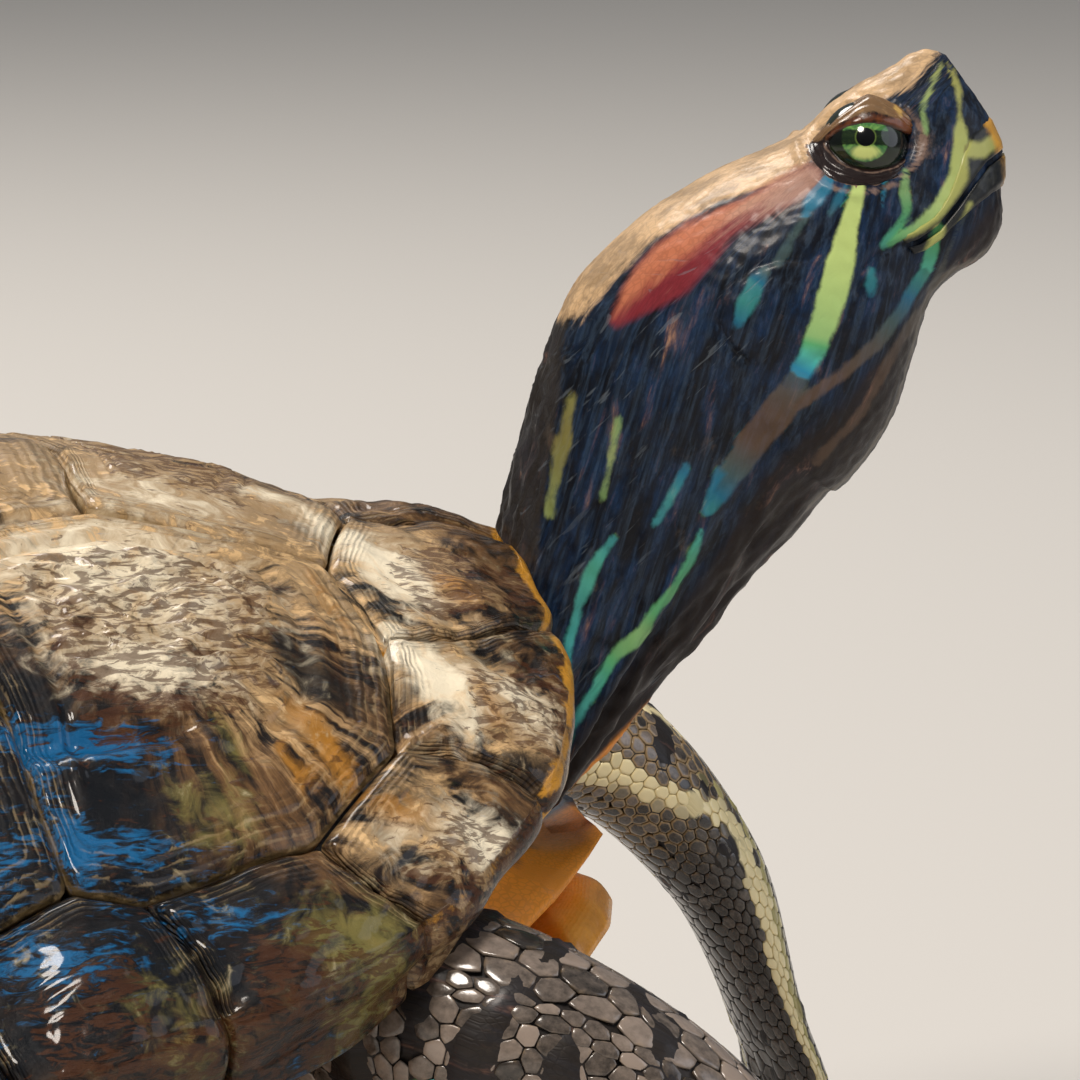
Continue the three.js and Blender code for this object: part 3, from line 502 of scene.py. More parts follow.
for i, side in enumerate(VERTEBRAL_SIDES):
    front = MARGINAL_SEAM[0].tolist() if i == 0 else None
    half_outline = [[CENTRE_SEAMS[i], 0], *([front] if front else []), *side, [CENTRE_SEAMS[i + 1], 0]]
    outline = half_outline + mirrored(half_outline[1:-1])[::-1]
    middle = (CENTRE_SEAMS[i] + CENTRE_SEAMS[i + 1]) / 2
    scute(f"vertebral_scute_{i + 1}", outline, np.array([middle - 5, 0.0]), 0.55, 10 + i,
          carapace_surface, scute_relief, SCUTE_DEPTH, horn, "carapace", [f"vertebral_{i + 1}"],
          vertebral_marks)

first, second, third, fourth = VERTEBRAL_SIDES[:4]
seam = MARGINAL_SEAM.tolist()
COSTAL_OUTLINES = [
    [first[0], seam[1], seam[2], seam[3], seam[4], COSTAL_ENDS[0], COSTAL_BENDS[0], second[1], second[0],
     first[1]],
    [second[1], COSTAL_BENDS[0], COSTAL_ENDS[0], seam[5], seam[6], COSTAL_ENDS[1], COSTAL_BENDS[1],
     third[1], third[0]],
    [third[1], COSTAL_BENDS[1], COSTAL_ENDS[1], seam[7], seam[8], COSTAL_ENDS[2], COSTAL_BENDS[2],
     fourth[1], fourth[0]],
    [fourth[1], COSTAL_BENDS[2], COSTAL_ENDS[2], seam[9], seam[10], REAR_CORNER, [-73.5, 29], fourth[2]]]
COSTAL_UMBOS = [[53, 37], [13, 40], [-29, 40], [-60, 34]]
COSTAL_BARS = [None, 14, -27, -58]
# Old injuries of the first costal: a dent and the ridge below it, from (x, y) to (x, y)
COSTAL_DENTS = [((36, 51.2), (51, 50.2), 1.3, -1.3), ((36, 53.8), (53, 50.6), 0.9, 0.55),
                ((37, 57), (55, 54.5), 1.6, -0.35), ((40, 61), (62, 53), 1.2, 0.3)]


def beside_line(x, y, start, end, width):
    """A bell of that width across the line from start to end, that fades past its ends."""
    start, end = np.array(start, float), np.array(end, float)
    length = np.hypot(*(end - start))
    forward = (end - start) / length
    run = (x - start[0]) * forward[0] + (y - start[1]) * forward[1]
    off = (y - start[1]) * forward[0] - (x - start[0]) * forward[1]
    past = np.maximum(0, np.maximum(-run, run - length))
    return np.exp(-(off / width) ** 2 - (past / 2) ** 2)


def first_costal_relief(x, y, ring, inset, seed):
    """The first costal: coarse wavy wrinkles that end in an arc in front of the umbo, a smooth
    stepped field of growth bands beyond it, and two old dents low down."""
    plan = np.stack([x, y, np.zeros_like(x)], -1)
    proud = scute_relief(x, y, ring, inset, seed)
    bent = plan + np.stack([np.zeros_like(x), 1.1 * np.sin(x / 2.6) + 0.04 * (x - 50) ** 2 * 0.3,
                            np.zeros_like(x)], -1)
    ridges = 1 - np.abs(wave_noise(bent, (9, 2.6, 1), seed + 5)) / 0.8
    across = np.abs(y)
    inside = (1 - smoothstep(0.5, 0.6, ring)) * (1 - smoothstep(43, 48, across))
    proud = proud + 0.4 * ridges * inside + 0.3 * inside
    proud = proud - 0.3 * bell(ring, 0.66, 0.03) + 0.25 * bell(ring, 0.74, 0.035)
    for start, end, width, height in COSTAL_DENTS:
        proud = proud + height * beside_line(x, across, start, end, width)
    return proud


for tag, side in SIDES:
    for i, outline in enumerate(COSTAL_OUTLINES):
        placed = mirrored(outline) if side < 0 else outline
        umbo = np.array([COSTAL_UMBOS[i][0], side * COSTAL_UMBOS[i][1]], float)
        bar = COSTAL_BARS[i]

        def costal_marks(x, y, ring, bar=bar):
            """The marks, and on the rear costals the olive bar that crosses each from top to bottom."""
            found = marks_at(x, y)
            if bar is not None:
                sway = bar + 2.5 * np.sin(np.abs(y) / 9)
                found["olive"] = found["olive"] + 0.62 * bell(x, sway, 3.2) * (1 - 0.3 * ring)
                found["dark"] = found["dark"] + 0.4 * bell(np.abs(x - sway), 7, 3)
            return found

        scute(f"costal_scute_{tag}_{i + 1}", placed, umbo, 0.36 if i == 0 else 0.55, 20 + i + 4 * (side > 0),
              carapace_surface, first_costal_relief if i == 0 else scute_relief, SCUTE_DEPTH, horn,
              "carapace", [f"costal_{tag}_{i + 1}"], costal_marks)


# ---- Marginal scutes and the cervical --------------------------------------------------------------
# Twelve small plates a side and the cervical in front wrap the rim of the shell like a gutter, from the
# costal seam over the edge to the underside. Their horn is thin and glossy; the free edge is yellow.

MARGINAL_RIM_ANGLES = [2.4, 12.4, 30.7, 43.6, 59, 73.8, 88.5, 103.5, 118, 132, 146, 161, 179.8]
MARGINAL_CORNERS = {0: VERTEBRAL_CORNER, 4: COSTAL_ENDS[0], 6: COSTAL_ENDS[1], 8: COSTAL_ENDS[2],
                    10: REAR_CORNER}
# How far, in degrees about the shell's middle, each seam between marginals bows backward
SEAM_BOWS = [0, 1.2, -0.9, 0.8, -0.7, 0.3, 0, 0, 0, -0.4, -0.6, -0.8, 0]
# Lumps in the horn over each plate's first small growth: x, distance from midline, radius, height
RIM_BOSSES = [(91, 24, 4.5, 1.0), (85, 41, 5.5, 1.6), (88, 34, 2.6, -1.1), (71, 56, 5, 1.3),
              (73, 60.5, 3, -0.7), (56, 64, 6, 1.2), (34, 69.5, 6, 0.9)]
OLIVE_BARRED = tuple(f"_{i}" for i in range(6, 13))      # plates with a bar down the middle
# From the front backward: how yellow the free edges are, and from which share on the undersides are
EDGE_YELLOW = [1.0, 0.95, 0.4, 0.15, 0.1]
# on the rear marginals the yellow starts further under, leaving the curl below the rim dark as painted shade
YELLOW_BELOW = [1.2, 1.2, 1.75, 1.75, 1.7, 1.6, 1.5]
RIM_TOP_COLUMNS = 44
RIM_LOWER_COLUMNS = 26


def spline(knots, values, at):
    """A smooth curve through values at knots: cubic pieces whose slopes come from the neighbours."""
    knots, values = np.asarray(knots, float), np.asarray(values, float)
    slopes = np.gradient(values, knots, axis=0)
    i = np.clip(np.searchsorted(knots, at, side="right") - 1, 0, len(knots) - 2)
    span = knots[i + 1] - knots[i]
    t = (at - knots[i]) / span
    shape = (-1,) + (1,) * (values.ndim - 1)
    t, span = t.reshape(shape), span.reshape(shape)
    return ((2 * t ** 3 - 3 * t ** 2 + 1) * values[i] + (t ** 3 - 2 * t ** 2 + t) * span * slopes[i]
            + (3 * t ** 2 - 2 * t ** 3) * values[i + 1] + (t ** 3 - t ** 2) * span * slopes[i + 1])


def rim_depth(angle):
    """How far the rim's underside drops: shallow in front and behind, deep along the bridge."""
    return 4.2 + 10.5 * bell(np.degrees(np.abs(angle)), 90, 34)


def grid_normals(points):
    """Unit normals of a grid whose columns close into rings: the cross product of its two directions."""
    along = np.gradient(points, axis=0)
    around = np.roll(points, -1, 1) - np.roll(points, 1, 1)
    normal = np.cross(along, around)
    normal /= np.maximum(np.linalg.norm(normal, axis=-1, keepdims=True), 1e-9)
    outward = np.einsum("ijk,ijk->", normal, points - points.mean(1, keepdims=True))
    return normal * np.sign(outward)


def rim_grid(seam_from, corner, seam_to, angle_from, angle_to, bow_from, bow_to, margin):
    """Rings of a marginal, one per station between its two seams: over the top from the costal seam to
    the rim, round it and back along the underside. Returns points, shares across, and stations."""
    length = np.hypot(*(np.array(seam_to) - seam_from))
    stations = max(10, int(max(length, np.radians(angle_to - angle_from) * 85) / 0.6))
    t = np.linspace(margin, 1 - margin, stations)
    seam_line = np.stack([np.interp(t, [0, 0.5, 1], [seam_from[k], corner[k], seam_to[k]])
                          for k in (0, 1)], -1)
    angle = np.radians(mix(angle_from, angle_to, t))
    top_share = np.linspace(0.012, 0.97, RIM_TOP_COLUMNS)
    swing = np.radians(mix(bow_from, bow_to, t))[:, None] * np.sin(np.pi * top_share)

    def place(share, bowed=0.0):
        """Plan points that share of the way from the seam line to the rim, turned by the bow."""
        rim_line = rim_radius(angle)[:, None] * np.stack([np.cos(angle), np.sin(angle)], -1)
        plan = mix(seam_line[:, None], rim_line[:, None], np.asarray(share)[..., None])
        x, y = plan[..., 0], plan[..., 1]
        return x * np.cos(bowed) - y * np.sin(bowed), x * np.sin(bowed) + y * np.cos(bowed)

    x, y = place(top_share[None], swing)
    top = np.stack([x, y, carapace_height(x, y)], -1)
    edge_height = rim_height(angle) + nuchal_swell(angle, 1)
    depth = rim_depth(angle)
    lower = [top[:, -1]]
    for share, drop in ((1.0, 0.8), (0.985, 2.0), (0.7, mix(2, depth, 0.6)), (0.42, depth)):
        x, y = place(np.full((1, 1), share))
        lower.append(np.stack([x[:, 0], y[:, 0], edge_height - drop], -1))
    # the hidden edge reaches in under the next scutes, so no light passes the seam
    x, y = place(np.full((1, 1), -0.09))
    lower.append(np.stack([x[:, 0], y[:, 0], top[:, 0, 2] - 2.6], -1))
    lower = spline([0, 0.1, 0.2, 0.5, 0.8, 1], np.array(lower), np.linspace(0, 1, RIM_LOWER_COLUMNS))
    share = np.concatenate([top_share, np.interp(np.linspace(0, 1, RIM_LOWER_COLUMNS), [0, 0.1, 1],
                                                 [1, 1.1, 2])[1:]])
    return np.concatenate([top, lower.transpose(1, 0, 2)[:, 1:]], 1), share, t


def rim_piece(name, cad_node, grid, side, seed, yellow, under_from):
    """A marginal from its grid, with rounded edges, lumps and growth lines, on the right or left.
    Its free edge is more or less yellow, and its underside is yellow from that share on."""
    points, share, t = grid
    share_grid = np.broadcast_to(share, points.shape[:2])
    width = np.linalg.norm(points[:, RIM_TOP_COLUMNS - 1] - points[:, 0], axis=-1)[:, None]
    spread = np.linalg.norm(points[-1] - points[0], axis=-1)[None]
    from_costal = np.where(share_grid <= 1, share_grid * width, 99)
    from_front, from_back = t[:, None] * spread, (1 - t)[:, None] * spread
    inset = np.minimum(from_costal, np.minimum(from_front, from_back))
    x, y = points[..., 0], points[..., 1]
    upper = share_grid <= 1
    grown = np.minimum(np.minimum(from_costal, from_front), 2.2 * from_back)
    ring = np.clip(1 - grown / 17, 0, 1)
    waver = wave_noise(points, 12, seed)
    proud = pillow(inset) + upper * growth_grooves(ring, waver, seed + 3, 8)
    proud = proud + 0.22 * waver + 0.1 * upper * wave_noise(points, 3.2, seed + 2)
    for bx, by, radius, height in RIM_BOSSES:
        proud = proud + upper * height * bell(np.hypot(x - bx, y - by), 0, radius)
    notch = 0.9 * smoothstep(3.5, 0, from_back) + 0.5 * smoothstep(2.5, 0, from_front)
    notch = notch * smoothstep(0.75, 1.0, share_grid) * smoothstep(1.4, 1.1, share_grid)
    top = (upper * (1 - smoothstep(0.7, 0.95, share_grid)))[..., None]
    normal = mix(grid_normals(points), height_normal(carapace_height, x, y), top)
    points = points + normal * (proud - notch)[..., None]
    marks = marks_at(x, y)
    edge = bell(share_grid, 1.04, 0.085) * yellow
    under = smoothstep(under_from, under_from + 0.1, share_grid)
    spot = bell(t[:, None], 0.55, 0.27) * bell(share_grid, under_from + 0.22, 0.26)
    marks["yellow"] = np.maximum(edge * (1 + 0.35 * wave_noise(points, 7, seed + 8)), under)
    marks["ink"] = 0.85 * spot * under
    marks["pale"] = marks["pale"] * upper
    if name.endswith(OLIVE_BARRED):
        marks["olive"] = marks["olive"] + 0.55 * bell(t[:, None], 0.5, 0.16) * upper
    lay = np.stack([t[:, None] * spread / 4, share_grid * width / 6,
                    np.full(share_grid.shape, seed * 3.7)], -1)
    points = points * np.array([1, side, 1])
    values = {key: with_hubs(value) for key, value in {"ring": ring * upper, "lay": lay, **marks}.items()}
    add_piece(name, *closed_loft(on_floor(points)), horn, "carapace", [cad_node], values)


for i in range(12):
    seam_from, seam_to = MARGINAL_SEAM[i], MARGINAL_SEAM[i + 1]
    corner = MARGINAL_CORNERS.get(i, (seam_from + seam_to) / 2)
    grid = rim_grid(seam_from, corner, seam_to, MARGINAL_RIM_ANGLES[i], MARGINAL_RIM_ANGLES[i + 1],
                    SEAM_BOWS[i], SEAM_BOWS[i + 1], 0.012)
    for tag, side in SIDES:
        rim_piece(f"marginal_scute_{tag}_{i + 1}", f"marginal_{tag}_{i + 1}", grid, side,
                  40 + i + 12 * (side > 0), EDGE_YELLOW[min(i, 4)], YELLOW_BELOW[min(i, 6)])

cervical_grid = rim_grid(np.array([86.0, -4.2]), [86.2, 0], np.array([86.0, 4.2]), -2.2, 2.2, 0, 0, 0.02)
rim_piece("cervical_scute", "cervical", cervical_grid, 1, 70, 0.9, 1.2)

# ---- Plastron --------------------------------------------------------------------------------------
# Twelve plates of horn under the belly, in pairs that meet at the midline. They are flat and polished
# by wear, yellow to orange with dark smudges; the gulars in front swell into thick rolled lips.

PLASTRON_DEPTH = 2.8
GULAR_DEPTH = 5.8
PLASTRON_OUTLINES = {
    "gular": [[74, 0.1], [98.5, 0.1], [101, 4], [102, 12], [99, 18], [93.5, 23]],
    "humeral": [[60, 0.1], [74, 0.1], [93.5, 23], [84, 33], [71, 40.5], [62, 44]],
    "pectoral": [[25, 0.1], [60, 0.1], [62, 44], [50, 48], [42, 55], [35, 66.5], [16, 69]],
    "abdominal": [[-24, 0.1], [25, 0.1], [16, 69], [-10, 69.5], [-32, 66.5], [-40, 52]],
    "femoral": [[-47, 0.1], [-24, 0.1], [-40, 52], [-50, 48.5], [-61, 46], [-72, 39.5]],
    "anal": [[-83.5, 0.1], [-47, 0.1], [-72, 39.5], [-82, 29.5], [-88.5, 17], [-89.5, 8]]}
ROLLED_BACK = tuple((np.cos(t), 0.12 + 0.88 * np.sin(t) ** 0.7) for t in np.linspace(0.05, 1.5, 22))

# Yellow keratin: clear pale horn over an orange ground, waxy and smooth.
belly_horn, belly_shader = new_material("Keratin of the plastron")
belly_ring, belly_ink, belly_amber, belly_pale = (
    node(belly_horn, "Attribute", output="Fac", attribute_name=name)
    for name in ("ring", "ink", "amber", "pale"))
belly_mm = millimetres(belly_horn)
belly_cloud, belly_grain = (
    node(belly_horn, "TexNoise", {"Vector": belly_mm, "Scale": scale, "Detail": 5, "Roughness": rough,
                                  "Distortion": bend})
    for scale, rough, bend in ((0.12, 0.62, 1.0), (1.3, 0.6, 0.0)))
belly_turns = node(belly_horn, "Math", (belly_ring, 150.0), operation="MULTIPLY")
belly_waver = node(belly_horn, "Math", (belly_grain, 4.0, belly_turns), operation="MULTIPLY_ADD")
belly_wave = node(belly_horn, "Math", (belly_waver,), operation="SINE")
belly_lines = node(belly_horn, "Math", (belly_wave, belly_ring), operation="MULTIPLY")
belly_half = node(belly_horn, "Math", (belly_lines, 0.05, 0.5), operation="MULTIPLY_ADD")
belly_colour = layered(belly_horn, linear("#f3a83c"), [
    (belly_half, belly_cloud, 2.0, 0.35, "#e39a35", 0.6),
    (belly_pale, belly_cloud, 1.0, 0.3, "#f0c572", 0.7),
    (belly_amber, belly_cloud, 1.2, 0.3, "#a8651f", 0.6),
    (belly_ink, belly_cloud, 1.5, 0.12, "#2c1e12", 0.88)])
belly_sheen = node(belly_horn, "MapRange", {"Value": belly_grain, "From Min": 0.3, "From Max": 0.7,
                                            "To Min": 0.2, "To Max": 0.36})
belly_height = node(belly_horn, "Math", (belly_lines, 0.15, belly_grain), operation="MULTIPLY_ADD")
belly_bump = node(belly_horn, "Bump", {"Height": belly_height, "Strength": 0.5, "Distance": 0.1 * MM})
fill(belly_horn, belly_shader, {"Base Color": belly_colour, "Roughness": belly_sheen, "Normal": belly_bump})


def plastron_height(x, y):
    """Flat below, turned up a little in front and steeply at the bridges to the carapace."""
    front = 6.2 * (np.maximum(x - 55, 0) / 45) ** 2
    return front + bell(x, 0, 55) * 11 * (np.maximum(np.abs(y) - 44, 0) / 25.5) ** 1.5


def plastron_surface(x, y, proud):
    """The plastron's form, moved down by proud."""
    return on_height(plastron_height, x, y, -1, proud)


def plastron_relief(x, y, ring, inset, seed):
    """Worn horn: a narrow groove round each plate, faint growth grooves and slow waves."""
    waver = wave_noise(np.stack([x, y, np.zeros_like(x)], -1), 22, seed)
    return 0.1 - 0.75 * bell(inset, 0, 0.9) + 0.5 * growth_grooves(ring, waver, seed, 8) + 0.12 * waver


for name, outline in PLASTRON_OUTLINES.items():
    for tag, side in SIDES:
        placed = mirrored(outline) if side < 0 else outline
        umbo = np.array(placed).mean(0) * np.array([1, 1.15])

        def plastron_marks(x, y, ring, umbo=umbo, lip=name == "gular"):
            """A dark smudge on each plate but the gulars, amber edges and a paler middle."""
            away = np.hypot((x - umbo[0]) / 13, (y - umbo[1]) / 10)
            return {"ink": (0.1 if lip else 0.72) * bell(away, 0, 1.0),
                    "amber": 0.55 * smoothstep(0.8, 1, ring), "pale": 0.55 * bell(ring, 0.6, 0.3)}

        thick = name == "gular"
        scute(f"{name}_scute_{tag}", placed, umbo, 0.6 if thick else 0.9, 80 + len(name) + (side > 0),
              plastron_surface, plastron_relief, GULAR_DEPTH if thick else PLASTRON_DEPTH, belly_horn,
              "plastron", [f"{name}_{tag}"], plastron_marks, ROLLED_BACK if thick else FLAT_BACK)


# ---- Skin ------------------------------------------------------------------------------------------
# One hide from snout to tail: loose and wrinkled on the neck, drawn tight over the skull, and closed
# round the body inside the shell. Blue-black with yellow-green and teal stripes, and a red patch behind
# each eye. Head and neck are lofted from sections, each limb from its joints, and all are joined.

OCCIPUT = np.array([24.0, 114.6])          # along the neck's plan curve, and height
HEAD_PITCH = np.radians(37)
NECK_ROOT = np.array([80.0, 0.0])
NECK_YAWS = np.radians([-7, -22])          # heading at the neck's root and at the head
# Neck sections: back point and throat point, each along the plan curve and up, then half the width
NECK_SECTIONS = [
    [-22, 62, -12, 44, 10.5], [-9, 72.5, 4, 53, 11], [1.5, 78.5, 12.5, 61, 11.5],
    [6.6, 84.5, 18.5, 68, 12], [8, 90.5, 24.5, 74.3, 12.4], [9.9, 97, 29, 79.6, 12.8],
    [12, 106, 34, 85.4, 13.3], [14.6, 113.6, 38.4, 90.2, 13.8], [18.4, 119.1, 42.4, 94.9, 14.4]]
# Head sections in the head's own frame: u forward of the occiput, its top and bottom w, half width,
# how far down it is widest, and how square it is (2 is an ellipse)
HEAD_SECTIONS = [
    [3.4, 7.5, -27.2, 15, 0.42, 2.2], [8.4, 7.3, -26, 15.1, 0.4, 2.3], [13.1, 6.8, -23.9, 14.4, 0.4, 2.35],
    [17.8, 5.7, -20.4, 13.2, 0.4, 2.4], [22.6, 5, -17, 11.6, 0.36, 2.5], [26.2, 5.5, -16.5, 10.2, 0.36, 2.5],
    [30.4, 5.4, -16.7, 7.9, 0.44, 2.3], [33.9, 4.9, -14.7, 6.3, 0.46, 2.2], [36, 4.9, -11.4, 5, 0.46, 2.1],
    [37.8, 4.1, -8.8, 3.5, 0.42, 2], [38.7, 2.7, -4.5, 1.8, 0.4, 2]]
NECK_SPACING, HEAD_SPACING = 0.75, 0.36
NECK_COLUMNS = 216
PLAN_STEP = 0.25
PLAN_START, PLAN_END = -45.0, 75.0


def yaw_at(along):
    """Heading of the neck's plan curve: it turns from its root's heading to the head's in an S."""
    return mix(*NECK_YAWS, smoothstep(-5, 36, along))


plan_along = np.arange(PLAN_START, PLAN_END, PLAN_STEP)
plan_steps = PLAN_STEP * np.stack([np.cos(yaw_at(plan_along)), np.sin(yaw_at(plan_along))], -1)
plan_curve = np.cumsum(plan_steps, 0)
plan_curve += NECK_ROOT - plan_curve[np.searchsorted(plan_along, 0)]


def from_profile(along, height, side):
    """Points from their place along the plan curve, their height and how far left of it they are."""
    yaw = yaw_at(along)
    x = np.interp(along, plan_along, plan_curve[:, 0]) - side * np.sin(yaw)
    y = np.interp(along, plan_along, plan_curve[:, 1]) + side * np.cos(yaw)
    return np.stack([x, y, height], -1) + SHELL_MIDDLE


def to_profile(points):
    """The reverse: the plan curve's station whose cross plane holds each point, height and side."""
    flat = (points - SHELL_MIDDLE)[:, :2]
    yaw = yaw_at(plan_along)
    heading = np.stack([np.cos(yaw), np.sin(yaw)])
    ahead = flat @ heading - (plan_curve * heading.T).sum(-1)
    station = np.abs(ahead).argmin(1)
    rows = np.arange(len(flat))
    along = plan_along[station] + ahead[rows, station]
    yaw = yaw[station]
    offset = flat - plan_curve[station]
    return along, points[:, 2], offset[:, 1] * np.cos(yaw) - offset[:, 0] * np.sin(yaw)


def head_to_profile(u, w):
    """Head coordinates turned up by the head's pitch about the occiput."""
    cos, sin = np.cos(HEAD_PITCH), np.sin(HEAD_PITCH)
    return OCCIPUT[0] + u * cos - w * sin, OCCIPUT[1] + u * sin + w * cos


def profile_to_head(along, height):
    """Profile coordinates turned back into the head's own frame."""
    cos, sin = np.cos(HEAD_PITCH), np.sin(HEAD_PITCH)
    along, height = along - OCCIPUT[0], height - OCCIPUT[1]
    return along * cos + height * sin, height * cos - along * sin


def from_head(u, w, side):
    """Points of the frame from head coordinates and the distance to the left."""
    return from_profile(*head_to_profile(u, w), side)


def near_path(points, path, reach):
    """Distance from each point to a path of points, and the share of the way along it that is
    nearest. Points further than reach from the path's box are left at that distance."""
    path = np.asarray(path, float)
    distance = np.full(len(points), float(reach))
    share = np.zeros(len(points))
    near = np.all((points > path.min(0) - reach) & (points < path.max(0) + reach), axis=1)
    start, step = path[:-1], np.diff(path, axis=0)
    offset = points[near][:, None] - start
    run = np.clip((offset * step).sum(-1) / (step * step).sum(-1), 0, 1)
    away = np.linalg.norm(offset - run[..., None] * step, axis=-1)
    best = away.argmin(1)
    rows = np.arange(len(best))
    distance[near] = away[rows, best]
    share[near] = (best + run[rows, best]) / len(step)
    return distance, share


ORBIT = {"u": 26.9, "w": 1.4, "long": 5.5, "short": 4.1, "tilt": np.radians(-34)}
EARDRUM = {"u": 10.3, "w": -7.0, "long": 6.6, "short": 5.6}
MOUTH_LINE = [[38.4, -8.6, 1.5], [35.9, -8.4, 3.6], [34.2, -8.6, 5], [31.2, -9.5, 7], [28.4, -10.1, 8.3],
              [25.8, -9.9, 9.3], [23.1, -8.7, 11], [21.2, -8.2, 12], [19.6, -8.6, 12.3], [18, -9.8, 12.8]]
EAR_FOLD = [[18.5, -4.4, 12.8], [16.8, -4.6, 13], [15.1, -3.9, 13.7], [13.2, -2.4, 14], [11.2, -1.6, 14.2],
            [8.8, -1.5, 14.5], [6.2, -2.1, 14.6], [4.3, -3.6, 14.8], [3.9, -6, 15], [4.6, -8.6, 15]]
CANTHUS = [[30.8, 4.3, 3.6], [32.5, 1.9, 5.2], [35, 2.4, 4.2], [38, 3.4, 2.4]]
NOSTRIL = [38.4, 1.6, 1.5]


def orbit_radius(u, w):
    """1 on the outer edge of the eyelids: distance from the orbit's middle in its own half axes."""
    cos, sin = np.cos(ORBIT["tilt"]), np.sin(ORBIT["tilt"])
    du, dw = u - ORBIT["u"], w - ORBIT["w"]
    return np.hypot((du * cos + dw * sin) / ORBIT["long"], (dw * cos - du * sin) / ORBIT["short"])


def head_relief(u, w, side):
    """Height of the head's and neck's hide over the loft, in millimetres: sockets for the eyes, the
    grooves of mouth, snout and eardrum, soft neck folds, and small beads along the nape."""
    shape = u.shape
    side = np.abs(side)
    spots = np.stack([u, w, side], -1).reshape(-1, 3)

    def groove(path, width):
        """A bell across a path."""
        return bell(near_path(spots, path, 6 * width)[0], 0, width).reshape(shape)

    lateral = smoothstep(1.5, 4, side)
    orbit = orbit_radius(u, w)
    rise = -3.6 * (1 - smoothstep(0.74, 1.0, orbit)) * lateral
    rise = rise + 0.3 * bell(orbit, 1.19, 0.1) * lateral - 0.25 * bell(orbit, 1.06, 0.05) * lateral
    rise = rise - 0.55 * groove(MOUTH_LINE, 0.42) - 0.5 * groove(CANTHUS, 0.45)
    rise = rise - 0.45 * groove(EAR_FOLD, 0.4)
    mouth_w = np.interp(u, [18, 21, 23, 28.4, 36, 39], [-9.8, -8.2, -8.7, -10.1, -8.4, -8.6])
    chin = smoothstep(0, -1.2, w - mouth_w) * smoothstep(20, 25, u)
    rise = rise - 0.45 * chin
    drum = np.hypot((u - EARDRUM["u"]) / EARDRUM["long"], (w - EARDRUM["w"]) / EARDRUM["short"])
    rise = rise + 0.5 * bell(drum, 0, 0.75) * lateral
    for level, (at_u, at_w) in enumerate([(9.2, -12.6), (6.9, -11.6), (5.2, -10.0)]):
        path = [[at_u - 3.5, at_w + 2.6, 14.6], [at_u, at_w, 14.2], [at_u + 4.5, at_w - 1.2, 13.8]]
        rise = rise - (0.28 - 0.05 * level) * groove(path, 0.35)
    nostril = np.sqrt((u - NOSTRIL[0]) ** 2 + (w - NOSTRIL[1]) ** 2 + (side - NOSTRIL[2]) ** 2)
    rise = rise - 0.9 * bell(nostril, 0, 0.55)
    neck = smoothstep(6, -8, u)
    plan = np.stack([u, w, side], -1)
    slack = smoothstep(-6, -26, u)
    under = smoothstep(-15, -24, w - 0.25 * np.minimum(u, 0) * 0.6)
    # on the neck the folds run along it: long in u and w together, short across
    lengthwise = np.stack([u * 0.91 + w * 0.41, w * 0.91 - u * 0.41, side], -1)
    rise = rise + (0.22 * slack + 0.32 * under * neck) * wave_noise(lengthwise, (34, 4.0, 4.0), 5)
    rise = rise + 0.15 * neck * (1 - np.abs(wave_noise(lengthwise, (11, 2.0, 2.4), 6)) * 1.3)
    rise = rise + 0.07 * slack * wave_noise(plan, (3.2, 3.2, 3.2), 7)
    nape = nape_share(u, w)
    beads = np.abs(wave_noise(plan, 2.4, 8)) * 0.75
    rise = rise + 0.2 * nape * (np.minimum(beads, 0.8) - 0.4)
    return rise + 0.035 * wave_noise(plan, 1.5, 9)


def nape_share(u, w):
    """1 on the nape and the top of the neck, where the hide is beaded, and 0 on its smooth sides."""
    top = np.interp(u, [-40, -25, -22, -17, -13, -10, 0], [-22, -11.5, -8.4, -3.7, 0.2, 3, 9])
    return smoothstep(-0.6, 1.2, w - top) * smoothstep(-2, -8, u)


def section_rows():
    """Every section as back point, throat point, half width, widest share and squareness."""
    neck = [[*row, 0.48, 2.15] for row in NECK_SECTIONS]
    head = [[*head_to_profile(u, top), *head_to_profile(u, bottom), half, widest, square]
            for u, top, bottom, half, widest, square in HEAD_SECTIONS]
    return np.array(neck + head, float)


def head_and_neck():
    """The loft: sections splined along the neck, each ring a squared oval, then moved by the relief."""
    rows = section_rows()
    middles = (rows[:, :2] + rows[:, 2:4]) / 2
    knots = distances_along(middles)
    parting = knots[len(NECK_SECTIONS)]
    at = np.concatenate([np.arange(0, parting, NECK_SPACING), np.arange(parting, knots[-1], HEAD_SPACING),
                         knots[-1:]])
    back_a, back_h, throat_a, throat_h, half, widest, square = spline(knots, rows, at).T
    turn = 2 * np.pi * (np.arange(NECK_COLUMNS) + 0.5) / NECK_COLUMNS
    power = 2 / square[:, None]
    across = np.sign(np.sin(turn)) * np.abs(np.sin(turn)) ** power * half[:, None]
    lift = np.sign(np.cos(turn)) * np.abs(np.cos(turn)) ** power
    share = np.where(lift > 0, mix(widest[:, None], 0, lift), mix(widest[:, None], 1, -lift))
    along = mix(back_a[:, None], throat_a[:, None], share)
    height = mix(back_h[:, None], throat_h[:, None], share)
    rings = from_profile(along, height, across)
    # the snout's blunt end: rings that shrink into its tip
    tip = [mix(rings[-1], rings[-1].mean(0), s) for s in (0.35, 0.7)]
    rings = np.concatenate([rings, tip])
    side = np.concatenate([across, [across[-1] * 0.65, across[-1] * 0.3]])
    along = np.concatenate([along, np.tile(along[-1], (2, 1))])
    height = np.concatenate([height, np.tile(height[-1], (2, 1))])
    u, w = profile_to_head(along, height)
    return rings + grid_normals(rings) * head_relief(u, w, side)[..., None]


SCALE_DEPTH = 0.35                         # the hide of the legs lies this far inside, under the scales
